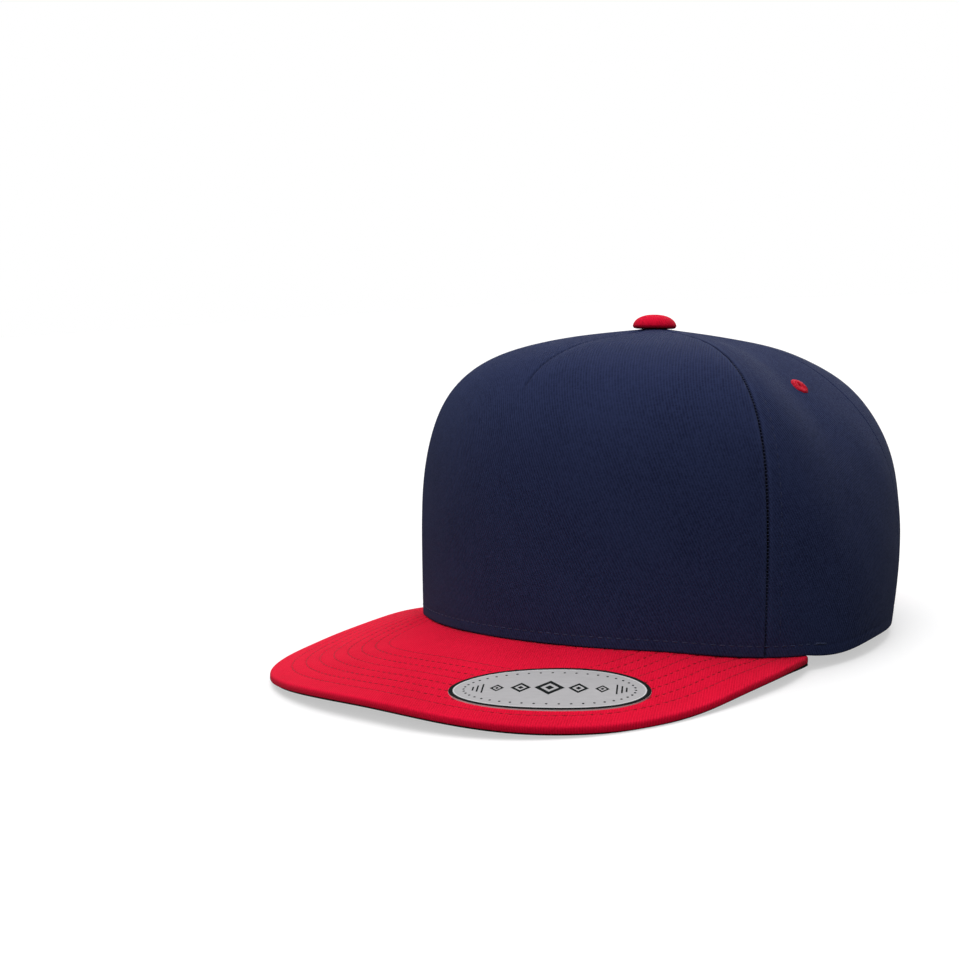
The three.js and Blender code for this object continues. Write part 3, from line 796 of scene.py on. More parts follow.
def threadMaterial(name, look):
    material, tree, shader = newMaterial(name, {"Sheen Weight": 0.05, "Specular IOR Level": 0.2})
    thread = useGroup(tree, "thread", {"At": placeOf(tree, "threadAt"), "Twist": look["twist"]})
    colour = mixColour(tree, thread["Ply"], look["deep"], look["base"])
    colour = mixColour(tree, mapRange(tree, thread["Tone"], 0, 1, 0, 0.35), colour, look["light"])
    rough = mapRange(tree, thread["Ply"], 0, 1, 0.72, 0.5)
    dress(tree, shader, colour, rough, thread["Ply"], 0.00006, 0.8)
    return material


# In each look the colour for creases is painted shade, laid in seam creases, the dart and needle holes.
navyLook = {
    "deep": (0.0092, 0.013, 0.042, 1), "base": (0.021, 0.03, 0.089, 1), "light": (0.037, 0.052, 0.132, 1),
    "worn": (0.025, 0.035, 0.098, 1), "crease": (0.0015, 0.002, 0.005, 1), "sheen": 0.035,
    "sheenTint": (0.7, 0.78, 1.0, 1), "gloss": 0.06, "slant": 63, "pitch": 0.98, "wander": 0.2,
    "toneSize": 26.0, "toneShare": 0.4, "yarnShare": 0.36, "rubShare": 0.4, "lint": 0.25, "roughness": 0.88,
    "nap": 0.4, "relief": 0.0002,
}
redLook = {
    "deep": (0.57, 0.0004, 0.019, 1), "base": (0.79, 0.0014, 0.034, 1), "light": (0.92, 0.008, 0.055, 1),
    "worn": (0.9, 0.004, 0.042, 1), "crease": (0.16, 0.0002, 0.005, 1), "sheen": 0.05,
    "sheenTint": (1.0, 0.62, 0.68, 1), "gloss": 0.06, "slant": 58, "pitch": 0.85, "wander": 0.2,
    "toneSize": 30.0, "toneShare": 0.4, "yarnShare": 0.3, "rubShare": 0.35, "lint": 0.15, "roughness": 0.84,
    "nap": 0.4, "relief": 0.00018,
}
darkLook = dict(
    navyLook, deep=(0.003, 0.005, 0.004, 1), base=(0.011, 0.019, 0.015, 1), light=(0.025, 0.038, 0.032, 1),
    worn=(0.015, 0.024, 0.019, 1), sheenTint=(0.75, 0.9, 0.83, 1),
)
bandLook = dict(
    navyLook, deep=(0.003, 0.003, 0.005, 1), base=(0.012, 0.013, 0.018, 1), light=(0.028, 0.03, 0.038, 1),
    worn=(0.016, 0.017, 0.022, 1), pitch=0.7,
)
threadLooks = {
    "navyThread": ((0.0096, 0.0136, 0.04, 1), (0.021, 0.029, 0.08, 1), (0.032, 0.044, 0.112, 1), 0.6),
    "rimThread": ((0.014, 0.019, 0.052, 1), (0.036, 0.049, 0.112, 1), (0.06, 0.078, 0.165, 1), 0.6),
    "redStitch": ((0.2, 0.0002, 0.006, 1), (0.5, 0.0008, 0.018, 1), (0.66, 0.002, 0.028, 1), 0.6),
    "darkStitch": ((0.008, 0.011, 0.009, 1), (0.022, 0.031, 0.027, 1), (0.045, 0.057, 0.052, 1), 0.6),
    "redThread": ((0.4, 0.0004, 0.012, 1), (0.82, 0.002, 0.035, 1), (0.92, 0.008, 0.055, 1), 0.9),
}
finish = {
    "navy": twillMaterial("navyTwill", navyLook),
    "red": twillMaterial("redTwill", redLook),
    "buttonRed": twillMaterial("buttonTwill", dict(redLook, pitch=0.7, relief=0.00016)),
    "dark": twillMaterial("darkTwill", darkLook),
    "band": twillMaterial("bandCloth", bandLook),
}
for name, (deep, base, light, twist) in threadLooks.items():
    finish[name] = threadMaterial(name, {"deep": deep, "base": base, "light": light, "twist": twist})


# Soft moulded plastic, with the slight mottle and fine scuffs of the real strap
def plasticMaterial(name, look):
    material, tree, shader = newMaterial(name, {
        "Specular IOR Level": 0.5,
        "Subsurface Weight": 0.12,
        "Subsurface Radius": (0.004, 0.001, 0.001),
        "Coat Weight": 0.12,
        "Coat Roughness": 0.3,
    })
    at = placeOf(tree, "weaveAt")
    mottle = noiseOf(tree, at, 0.22, 5.0, 0.6)
    colour = mixColour(tree, mapRange(tree, mottle, 0.32, 0.68, 0, 1), look["base"], look["pale"])
    grain = noiseOf(tree, at, 3.2, 4.0)
    scuff = noiseOf(tree, vectorMath(tree, "MULTIPLY", at, (0.5, 7.0, 1.0)), 0.9, 2.0)
    colour = mixColour(tree, mapRange(tree, scuff, 0.6, 0.72, 0, 0.12), colour, look["scuff"])
    rough = mapRange(tree, grain, 0.3, 0.7, look["roughness"] - 0.07, look["roughness"] + 0.09)
    height = math2(tree, "MULTIPLY_ADD", grain, 0.5, mottle)
    dress(tree, shader, colour, rough, height, 0.00012, 0.5)
    return material


# Brushed silver foil, and the inks printed on it
def foilMaterial(name, look):
    fixed = {"Specular IOR Level": look["gloss"], "Metallic": look["metal"]}
    material, tree, shader = newMaterial(name, fixed)
    at = placeOf(tree, "weaveAt")
    brushed = noiseOf(tree, vectorMath(tree, "MULTIPLY", at, (0.12, 6.0, 1.0)), 1.0, 4.0)
    cloud = noiseOf(tree, at, 0.09, 3.0)
    colour = mixColour(tree, mapRange(tree, brushed, 0.3, 0.7, 0, 1), look["base"], look["light"])
    colour = mixColour(tree, mapRange(tree, cloud, 0.35, 0.65, 0, 0.4), colour, look["dull"])
    rough = mapRange(tree, cloud, 0.3, 0.7, look["roughness"] - 0.06, look["roughness"] + 0.1)
    dress(tree, shader, colour, rough, brushed, 0.00003, 0.4)
    return material


finish["plastic"] = plasticMaterial("strapPlastic", {
    "base": (0.88, 0.004, 0.02, 1), "pale": (0.94, 0.012, 0.032, 1), "scuff": (0.95, 0.07, 0.09, 1),
    "roughness": 0.36})
finish["foil"] = foilMaterial("silverFoil", {
    "base": (0.51, 0.5, 0.51, 1), "light": (0.64, 0.63, 0.64, 1), "dull": (0.42, 0.41, 0.42, 1),
    "roughness": 0.4, "metal": 0.3, "gloss": 0.4})
finish["printBlack"] = foilMaterial("printBlack", {
    "base": (0.004, 0.006, 0.006, 1), "light": (0.01, 0.013, 0.013, 1), "dull": (0.013, 0.015, 0.015, 1),
    "roughness": 0.6, "metal": 0.0, "gloss": 0.06})
finish["printLight"] = foilMaterial("printLight", {
    "base": (0.74, 0.73, 0.74, 1), "light": (0.82, 0.81, 0.82, 1), "dull": (0.66, 0.65, 0.66, 1),
    "roughness": 0.4, "metal": 0.3, "gloss": 0.3})
print("cloth, thread, plastic and foil finishes made")

# Crown

eyelet = {
    "radius": 3.75,
    "hole": 0.7,
    "thread": 0.75,
    "strands": 46,
    "cut": 2.5,
    "side": {"azimuth": 93.0, "rise": 0.571},
    "back": {"azimuth": 154.2, "rise": 0.507},
}

addPiece(
    panelMesh("front_panel_cloth", -cap["frontSeam"], cap["frontSeam"], [panel["rimRow"]], ([], []),
              middle=(0.15, 0.5, 1.1)),
    finish["navy"], ["front_panel"],
)
for word, side in (("left", 1), ("right", -1)):
    addPiece(
        panelMesh(f"side_panel_{word}_cloth", cap["frontSeam"], cap["sideSeam"], [panel["rimRow"]],
                  ([panel["frontRow"]], []), side, (1, panel["sideBold"]), holes=[eyelet["side"]]),
        finish["navy"], [f"side_panel_{word}"],
    )
    addPiece(
        panelMesh(f"back_panel_{word}_cloth", cap["sideSeam"], 180.0, [panel["archRow"]],
                  ([], [panel["backRow"]]), side, (panel["sideBold"], 1), True, holes=[eyelet["back"]]),
        finish["navy"], [f"back_panel_{word}"],
    )


# Visor

def visorEndAzimuth():
    a = np.linspace(1, 90, 2000)
    return float(np.interp(0, visor["startsAt"] - baseRadius(a) * np.cos(np.radians(a)), a))


def visorEdge(inset):
    halfWidth = cap["halfWidth"] + visor["flare"] - inset
    nose = cap["front"] + visor["length"] - inset
    start = np.array([wallPoint(visorEndAzimuth(), 0.0, 0.0)[0], -visor["startsAt"]])
    widest = np.array([halfWidth, -visor["widestAt"]])
    bend = np.array([halfWidth, mix(-visor["startsAt"], -visor["widestAt"], visor["sideBend"])])
    t = np.linspace(0, 1, 60)[:, None]
    side = (1 - t) ** 2 * start + 2 * t * (1 - t) * bend + t**2 * widest
    angle = np.linspace(0, np.pi / 2, 400)[1:]
    power = 2 / visor["squareness"]
    forward = mix(visor["widestAt"], nose, np.sin(angle) ** power)
    front = np.stack([halfWidth * np.abs(np.cos(angle)) ** power, -forward], 1)
    half = np.concatenate([side, front])
    return np.concatenate([half, half[-2::-1] * (-1, 1)])


def resample(run, count):
    reached = reachedAlong(run)
    return pointsAt(np.linspace(0, reached[-1], count), reached, run)


def distanceToRun(points, run):
    a, b = run[:-1], run[1:]
    best = np.full(points.shape[:-1], np.inf)
    for start, end in zip(a, b):
        way = end - start
        share = np.clip(((points - start) @ way) / max(way @ way, 1e-12), 0, 1)
        best = np.minimum(best, np.linalg.norm(points - start - share[..., None] * way, axis=-1))
    return best


# The board's slow waves
def boardRipple(x, y):
    return softWaves(withZero(x, y), visor["rippleLength"], seeds["board"]) * visor["ripple"]


# The visor in plan: rows at given distances from the edge, along columns from the crown's rim to the edge,
# with the columns' directions and how far each one's root lies from the edge
def visorPlan(inset, distances):
    edge = visorEdge(inset)
    columns = int(reachedAlong(edge)[-1] / visor["columnStep"])
    outer = resample(edge, columns)
    end = visorEndAzimuth()
    root = wallPoint(np.linspace(end, -end, columns), 0.0, cap["wall"])[:, :2]
    shares = np.linspace(0, 1, 120)
    lines = root[:, None] + (outer - root)[:, None] * shares[:, None]
    away = distanceToRun(lines, resample(edge, 320))
    away[:, -1] = 0
    rows = []
    for distance in distances:
        at = np.array([np.interp(-distance, -line, shares) for line in away])
        rows.append(root + (outer - root) * at[:, None])
    return np.array(rows), unit(outer - root), away[:, 0]


def visorDistances():
    stops = list(visor["edgeStops"])
    for row in visor["rowsFromEdge"]:
        stops.extend(row + s for s in visor["rowStops"])
    last = visor["rowsFromEdge"][-1] + visor["rowStops"][-1]
    stops.extend(last + 3 * k for k in range(1, 9))
    return np.array(sorted(set(stops)))[::-1]


# Cloth pulled down along the rows of stitches, most at each needle hole
def rowFurrows(plan, distances, depth):
    sunk = np.zeros(plan.shape[:2])
    pitch = visor["stitch"] + visor["stitchGap"]
    for row in visor["rowsFromEdge"]:
        nearest = plan[np.argmin(np.abs(distances - row + 0.2))]
        reached = reachedAlong(nearest)
        count = max(1, int(reached[-1] // pitch))
        wave = 0.62 + 0.38 * np.cos(2 * np.pi * reached / reached[-1] * count)
        sunk += depth * bump(distances[:, None] - row, visor["rowGrooveWidth"]) * wave
    return sunk


# A board cut to the visor's plan. The stitches pull one face down; rounds are for the upper and lower edge.
def boardMesh(name, inset, top, thickness, rounds, pulled):
    distances = visorDistances()
    plan, outward = visorPlan(inset, distances)[:2]
    furrows = rowFurrows(plan, distances, visor["rowGroove"])
    face = rimHeight(plan[..., 0], plan[..., 1]) + top + boardRipple(plan[..., 0], plan[..., 1])
    upper = face - roundedDepth(distances, rounds[0])[:, None]
    lower = face - thickness + roundedDepth(distances, rounds[1])[:, None]
    if pulled == "upper":
        upper = upper - furrows
    else:
        lower = lower + furrows
    worn = np.broadcast_to(bump(distances - visor["wearAt"], visor["wearWidth"])[:, None], face.shape)
    holeShade = np.clip(furrows / visor["rowGroove"] * 4 - 3, 0, 1)  # painted shade in the needle holes
    weave = []
    for level in (upper, lower):
        flat = plan + outward * (face - level)[..., None]
        weave.append(withZero(flat[..., 0], flat[..., 1]))
    points = np.concatenate([np.dstack([plan, level]).reshape(-1, 3) for level in (upper, lower)])
    weaveShadeAndWear = {"weaveAt": weave, "shadeAndWearAt": [withZero(holeShade, worn)] * 2}
    return makeMesh(name, points, shellFaces(*plan.shape[:2])[:, ::-1], weaveShadeAndWear)


def visorStitches(name, level, facing):
    plan, _, reach = visorPlan(0.0, np.array(visor["rowsFromEdge"]))
    parts = []
    for line, row in zip(plan, visor["rowsFromEdge"]):
        x, y = line[reach > row + visor["rowEnd"]].T
        points = np.stack([x, y, rimHeight(x, y) + level + boardRipple(x, y)], 1)
        normals = np.broadcast_to([0, 0, facing], points.shape)
        parts.append(stitchesAlong(points, normals, visor["thread"]))
    return threadMesh(name, parts)


addPiece(
    boardMesh("visor_cloth", 0.0, visor["top"], visor["thickness"],
              (visor["edgeRound"], visor["backRound"]), "upper"),
    finish["red"], ["visor"], welded=True,
)
addPiece(
    boardMesh("under_visor_cloth", visor["underInset"], visor["underTop"], visor["underThickness"],
              (visor["underBackRound"], visor["underEdgeRound"]), "lower"),
    finish["dark"], ["under_visor"], welded=True,
)
stitchDepth = visor["rowGroove"] - visor["threadStands"]
underFace = visor["underTop"] - visor["underThickness"]
addPiece(
    visorStitches("visor_stitches", visor["top"] - stitchDepth, 1.0),
    finish["redStitch"],
)
addPiece(
    visorStitches("under_visor_stitches", underFace + stitchDepth, -1.0),
    finish["darkStitch"],
)

# Button on top of the crown, its cloth gathered under the edge

# A turned shape round an axis, with the place of each point in a cloth spread from its top
def turnedShape(outline, sides, centre, axis=(0, 0, 1), ripple=None):
    angle = np.linspace(0, 2 * np.pi, sides, endpoint=False)
    radius = outline[:, 0][:, None] * np.ones(sides)
    height = outline[:, 1][:, None] * np.ones(sides)
    if ripple is not None:
        radius = ripple(radius, height, angle)
    axis = np.asarray(axis, float)
    along = unit(np.cross([0, 1, 0] if abs(axis[1]) < 0.9 else [1, 0, 0], axis))
    other = np.cross(axis, along)
    radial = along * np.cos(angle)[:, None] + other * np.sin(angle)[:, None]
    points = np.asarray(centre) + radius[..., None] * radial + height[..., None] * axis
    ring = np.arange(sides)
    faces = [tubeFaces(len(outline), sides), ring[None, ::-1], (len(outline) - 1) * sides + ring[None]]
    reached = reachedAlong(outline)
    out = (reached[-1] - reached)[:, None]
    place = withZero(out * np.cos(angle), out * np.sin(angle))
    return points.reshape(-1, 3), faces, place.reshape(-1, 3)


def buttonMesh():
    r, h, low, shank = (button[k] for k in ("radius", "height", "low", "shank"))
    side = [(shank, low - 1.6), (shank, low + 0.2), (r * 0.86, low + 0.28), (r * 0.95, low + 0.5)]
    climb = np.linspace(0, 1, 26)[1:-1] * np.pi / 2
    dome = [(r * np.cos(a) ** 0.85, mix(low + 0.95, h, np.sin(a))) for a in climb]
    outline = np.array([*side, *dome, (0.35, h)])

    def gathers(radius, height, angle):
        near = bump(height - low - 0.9, 0.9) * (radius > r * 0.8)
        count = button["gathers"]
        wave = np.sin(angle * count) * 0.6 + np.sin(angle * (count * 0.5 + 3) + 1)
        return radius + near * wave * button["gatherDepth"]

    points, faces, place = turnedShape(outline, 96, (0, 0, cap["height"]), ripple=gathers)
    return makeMesh("crown_button_cloth", points, faces, {"weaveAt": place})


addPiece(buttonMesh(), finish["buttonRed"], ["crown_button"])

# Embroidered eyelets: a turned ring wound with two layers of thread

def eyeletMesh(name, place, side):
    azimuth = np.array(side * place["azimuth"])
    rise = np.array(place["rise"])
    normal = crownNormal(azimuth, rise)
    centre = clothPoint(azimuth, rise, 0.0)
    r, hole, t = eyelet["radius"], eyelet["hole"], eyelet["thread"]
    middle = (r + hole) / 2
    depth = cap["wall"] + 0.1
    outline = np.array([
        (hole + 0.12, -depth - t * 0.6), (middle, -depth - t), (r - 0.3, -depth - t * 0.4), (r - 0.5, -depth),
        (hole + 0.75, -depth), (hole + 0.75, -0.1), (r - 0.35, -0.12), (r - 0.2, 0.1), (middle, t * 0.72),
        (hole + 0.3, t * 0.35), (hole + 0.12, -0.2), (hole + 0.12, -depth - t * 0.6),
    ])
    points, faces = turnedShape(outline, 40, centre, normal)[:2]
    parts = [(points, faces[:1], np.zeros_like(points))]
    draw = np.random.default_rng(int(place["azimuth"]) + side)
    along = unit(np.cross([0, 0, 1], normal))
    other = np.cross(normal, along)
    for layer, (count, lift) in enumerate(((eyelet["strands"], 0.0), (eyelet["strands"] // 2, 0.1))):
        turn = np.linspace(0, 2 * np.pi, count, endpoint=False) + draw.uniform(-0.03, 0.03, count)
        reach = r + draw.uniform(-0.22, 0.14, count) - layer * 0.15
        stations = np.array([0, 0.12, 0.3, 0.55, 0.8, 1])
        out = mix(hole - 0.02, reach[:, None], stations)
        level = np.array([-0.55, 0.12, 0.62, 0.78, 0.5, -0.12]) * t + lift
        lean = turn[:, None] + draw.uniform(-0.05, 0.05, count)[:, None] * stations
        radial = along * np.cos(lean)[..., None] + other * np.sin(lean)[..., None]
        paths = centre + radial * out[..., None] + normal * np.broadcast_to(level, out.shape)[..., None]
        tilt = np.array([-1.0, -0.75, -0.2, 0.1, 0.5, 0.9])
        ups = unit(normal + radial * tilt[:, None])
        width = 2 * np.pi * out / eyelet["strands"] / 2 * draw.uniform(0.95, 1.2, count)[:, None]
        parts.append(threadTubes(paths, ups, width, np.full(out.shape, 0.17), 5))
    return threadMesh(name, parts)


for word, side in (("left", 1), ("right", -1)):
    for spot in ("side", "back"):
        addPiece(
            eyeletMesh(f"eyelet_{spot}_{word}_thread", eyelet[spot], side),
            finish["redThread"], [f"eyelet_{spot}_{word}"],
        )

# Topstitching and seam threads of the crown

crownThreads = {
    "topstitch": {"length": 2.3, "gap": 1.1, "width": 0.4, "height": 0.28, "lift": 0.05, "sink": 0.28},
    "rim": {"length": 2.4, "gap": 0.9, "width": 0.38, "height": 0.28, "lift": 0.08, "sink": 0.28},
    "seamPitch": {"front": 1.25, "back": 2.0},
    "seamWidth": 1.5,  # how far each seam thread reaches over the two folded edges
    "seamThread": {"front": 0.3, "back": 0.62},
    "plainFrom": {"front": 0.6, "back": 0.86},  # rise above which a seam closes without threads
    "rimPast": 2.9,  # degrees past the visor's ends
    "backtack": {"reach": 2.8125, "above": 0.35, "stands": 0.12,  # reach in degrees
                 "stitch": {"length": 1.6, "gap": -0.5, "width": 0.7}},
    "strapRow": {"fromEdge": 6.5, "low": 2.5, "high": 19.0},
    "seamFrom": 6.0,  # heights above the rim where the front seam's threads and topstitch begin
    "topstitchFrom": 7.0,
}


# Azimuths of a run at a distance beside a seam
def besideSeam(azimuth, offset, rises):
    base = np.full(len(rises), float(azimuth))
    speed = np.linalg.norm(crownPoint(base + 0.5, rises) - crownPoint(base - 0.5, rises), axis=1)
    return base + offset / np.maximum(speed, 0.2)


# A row of stitches on the crown, along a run of azimuth and rise
def crownRow(azimuth, rise, depth=panel["topstitchGroove"], look=crownThreads["topstitch"]):
    return stitchesAlong(clothPoint(azimuth, rise, depth), crownNormal(azimuth, rise), look)


# The short threads across a seam, like the rungs of a ladder
def seamLadder(place, azimuth, low, high):
    pitch = crownThreads["seamPitch"][place]
    rises = np.linspace(low, high, 400)
    azimuth = np.full(len(rises), float(azimuth))
    points = clothPoint(azimuth, rises, panel["topstitchGroove"])
    reached = reachedAlong(points)
    at = np.arange(pitch, reached[-1], pitch)
    middle = pointsAt(at, reached, points)
    up = unit(pointsAt(at, reached, crownNormal(azimuth, rises)))
    along = unit(pointsAt(at + 0.5, reached, points) - middle)
    across = np.cross(along, up)
    reach = np.array([-1, -0.7, -0.3, 0.3, 0.7, 1]) * crownThreads["seamWidth"] / 2
    sag = np.array([0.47, 0.25, 0.15, 0.15, 0.25, 0.47])
    full = np.array([0.45, 0.85, 1, 1, 0.85, 0.45])
    paths = middle[:, None] + across[:, None] * reach[:, None] - up[:, None] * sag[:, None]
    ups = np.broadcast_to(up[:, None], paths.shape)
    widths = np.broadcast_to(crownThreads["seamThread"][place] / 2 * full, paths.shape[:2])
    return threadTubes(paths, ups, widths, widths * 0.62)


def seamStitches():
    parts = []
    plain = crownThreads["plainFrom"]
    row = crownThreads["strapRow"]
    archTop = surfaceAt(np.array(0.0), np.array(arch["corner"] + arch["rise"]))[1]
    frontFrom, topstitchFrom = (riseAtHeight(crownThreads[k]) for k in ("seamFrom", "topstitchFrom"))
    for side in (-1, 1):
        parts.append(seamLadder("front", side * cap["frontSeam"], frontFrom, plain["front"]))
        rises = np.linspace(topstitchFrom, 0.5, 400)
        beside = besideSeam(side * cap["frontSeam"], side * panel["frontRow"], rises)
        parts.append(crownRow(beside, rises))
        rises = np.linspace(archTop + 0.012, 0.9, 400)
        parts.append(crownRow(besideSeam(180.0, side * panel["backRow"], rises), rises))
        azimuth, rise = surfaceAt(*archRun(panel["archRow"], 200, 0.97))
        parts.append(crownRow(side * azimuth, rise))
        heights = np.linspace(row["low"], row["high"], 60)
        azimuth, rise = surfaceAt(np.full(60, arch["halfWidth"] + row["fromEdge"]), heights)
        parts.append(crownRow(side * azimuth, rise, 0.0))
    parts.append(seamLadder("back", 180.0, archTop + 0.01, plain["back"]))
    return threadMesh("crown_seam_stitches", parts)


# The row above the visor, with a backtack of crowded stitches at each end
def rimStitches():
    end = visorEndAzimuth() + crownThreads["rimPast"]
    azimuth = np.linspace(-end, end, 900)
    rise = np.full(900, riseAtHeight(panel["rimRow"]))
    parts = [crownRow(azimuth, rise, look=crownThreads["rim"])]
    tack = crownThreads["backtack"]
    for side in (-1, 1):
        azimuth = side * np.linspace(end - 1, end - 1 + tack["reach"], 40)
        rise = np.full(40, riseAtHeight(panel["rimRow"] + tack["above"]))
        look = dict(crownThreads["rim"], **tack["stitch"])
        parts.append(crownRow(azimuth, rise, panel["topstitchGroove"] - tack["stands"], look))
    return threadMesh("rim_stitches", parts)


addPiece(seamStitches(), finish["navyThread"])
addPiece(rimStitches(), finish["rimThread"])

# Sweatband inside the crown

band = {
    "height": 30.0,
    "thickness": 1.2,
    "lift": 0.6,
    "past": 2.0,
    "clear": 0.3,
    "edgeRound": 0.5,
    "stitchRow": 2.6,
    "stitchGroove": 0.14,
    "stitchGrooveWidth": 0.5,
    "cover": 0.3,  # how far it hangs below the cloth under the visor
    "coverRun": 10.0,
    "perDegree": 1.62,  # millimetres round the rim
    "weavePerDegree": 1.6,
    "step": 2.0,
    "lowRows": (0, 0.1, 0.3, 0.6, 1.2, 2.1, 2.35, 2.6, 2.85, 3.1),
    "highRows": (29.0, 29.5, 29.8, 29.93, 30),
    "dropPast": 2.0,  # degrees past the visor's ends where the band has risen back into the crown
    "dropRun": 12.0,
}
strap = {
    "height": 19.0,
    "lift": 1.8,
    "thickness": 1.3,
    "tuck": 8.0,
    "shiftRun": 30.0,
    "count": 7,
    "pitch": 8.9,
    "firstSnap": 44.5,
    "engaged": 3,
    "hole": 1.66,
    "endPast": 6.6,
    "innerPast": 4.8,
    "step": 0.42,
    "edgeRound": 0.32,
    "backRound": 0.25,
    "rimLine": {"in": 1.75, "width": 0.42, "height": 0.3},
    "rimGroove": {"in": 2.5, "width": 0.4, "height": -0.14},
    "track": {"out": 3.45, "width": 0.34, "height": 0.2},
    "collar": {"out": 2.45, "width": 0.42, "height": 0.24},
    "peg": {"stem": 1.4, "head": 1.86, "neck": 1.85, "height": 1.15},
}


# The rim from the centre of the back to the wearer's left, and the distance of each point round it
rimAzimuth = np.linspace(180, 90, 1200)
rimRun = crownPoint(rimAzimuth, np.zeros(1200))
rimReached = reachedAlong(rimRun)
openingArc = float(np.interp(arch["halfWidth"], rimRun[:700, 0], rimReached[:700]))
tuckArc = openingArc + strap["tuck"]


# Azimuth at an arc round the back of the rim, from the centre towards the wearer's left
def azimuthAtArc(arc):
    turned = 180 - np.interp(np.abs(arc), rimReached, rimAzimuth)
    return 180 - np.sign(arc) * turned


# The band hangs below the rim along the visor, where it covers the joint, and stays above it elsewhere
def bandDrop(azimuth):
    stack = band["cover"] - visor["underTop"] + visor["underThickness"]
    share = smooth((visorEndAzimuth() + band["dropPast"] - np.abs(azimuth)) / band["dropRun"])
    return mix(-band["lift"], stack, share)


# Depth of the band's outer face; near the opening it passes inside the strap's tucked ends
def bandDepth(azimuth):
    tuckAzimuth = azimuthAtArc(tuckArc + band["clear"])
    bendFrom = azimuthAtArc(tuckArc + 2 * strap["tuck"])
    share = smooth((np.abs(azimuth) - bendFrom) / (tuckAzimuth - bendFrom))
    return cap["wall"] + band["clear"] + share * (strap["thickness"] + band["clear"])


def bandPoint(azimuth, height, depth):
    points = clothPoint(azimuth, riseAtHeight(height), bandDepth(azimuth) + depth)
    points[..., 2] -= bandDrop(azimuth) * np.maximum(0, 1 - height / band["coverRun"])
    return points


def bandMesh():
    end = azimuthAtArc(openingArc - band["past"])
    length = 2 * end * band["perDegree"]
    along = np.linspace(0, 1, int(length / band["step"]))
    fine = np.array([0, 0.0004, 0.001, 0.002])
    along = np.sort(np.unique(np.concatenate([along, fine, 1 - fine])))
    up = np.array([*band["lowRows"], *np.arange(4.4, 28.5, 1.6), *band["highRows"]])
    azimuth, height = np.broadcast_arrays(mix(-end, end, along), up[:, None])
    edge = np.minimum(height, band["height"] - height)
    edge = np.minimum(edge, np.minimum(along, 1 - along) * length)
    rounded = roundedDepth(edge, band["edgeRound"])
    furrow = band["stitchGroove"] * bump(height - band["stitchRow"], band["stitchGrooveWidth"])
    depths = (rounded, band["thickness"] - rounded - furrow)
    points = np.concatenate([bandPoint(azimuth, height, depth).reshape(-1, 3) for depth in depths])
    weave = withZero(azimuth * band["weavePerDegree"], height)
    return makeMesh("sweatband_cloth", points, shellFaces(*azimuth.shape), {"weaveAt": [weave, weave]})


def bandStitches():
    end = azimuthAtArc(openingArc - band["past"]) - 1.5
    azimuth = np.linspace(-end, end, 1500)
    height = np.full(1500, band["stitchRow"])
    points = bandPoint(azimuth, height, band["thickness"] - 0.1)
    row = stitchesAlong(points, -crownNormal(azimuth, riseAtHeight(height)), crownThreads["rim"])
    return threadMesh("sweatband_stitches", [row])


addPiece(bandMesh(), finish["band"], ["sweatband"])
addPiece(bandStitches(), finish["darkStitch"])

# Snap strap: two moulded tongues, the outer one with holes and the inner one with pegs

snapArcs = strap["firstSnap"] - strap["pitch"] * np.arange(strap["count"])
pegArcs = snapArcs[strap["count"] - strap["engaged"]] - strap["pitch"] * np.arange(strap["count"])


def overlapDepth(arc):
    tucked = cap["wall"] + cap["gap"]
    over = tucked - cap["gap"] - strap["thickness"]
    return mix(tucked, over, smooth((openingArc - arc) / strap["shiftRun"]))


def tuckedDepth(arc):
    return np.full(np.shape(arc), cap["wall"] + cap["gap"])


def strapPoint(arc, height, depth):
    azimuth = azimuthAtArc(arc)
    return wallPoint(azimuth, riseAtHeight(strap["lift"] + strap["height"] / 2 + height), depth)


# A moulded line in the strap, raised or sunk
def ridge(distance, look):
    return look["height"] * bump(distance, look["width"])


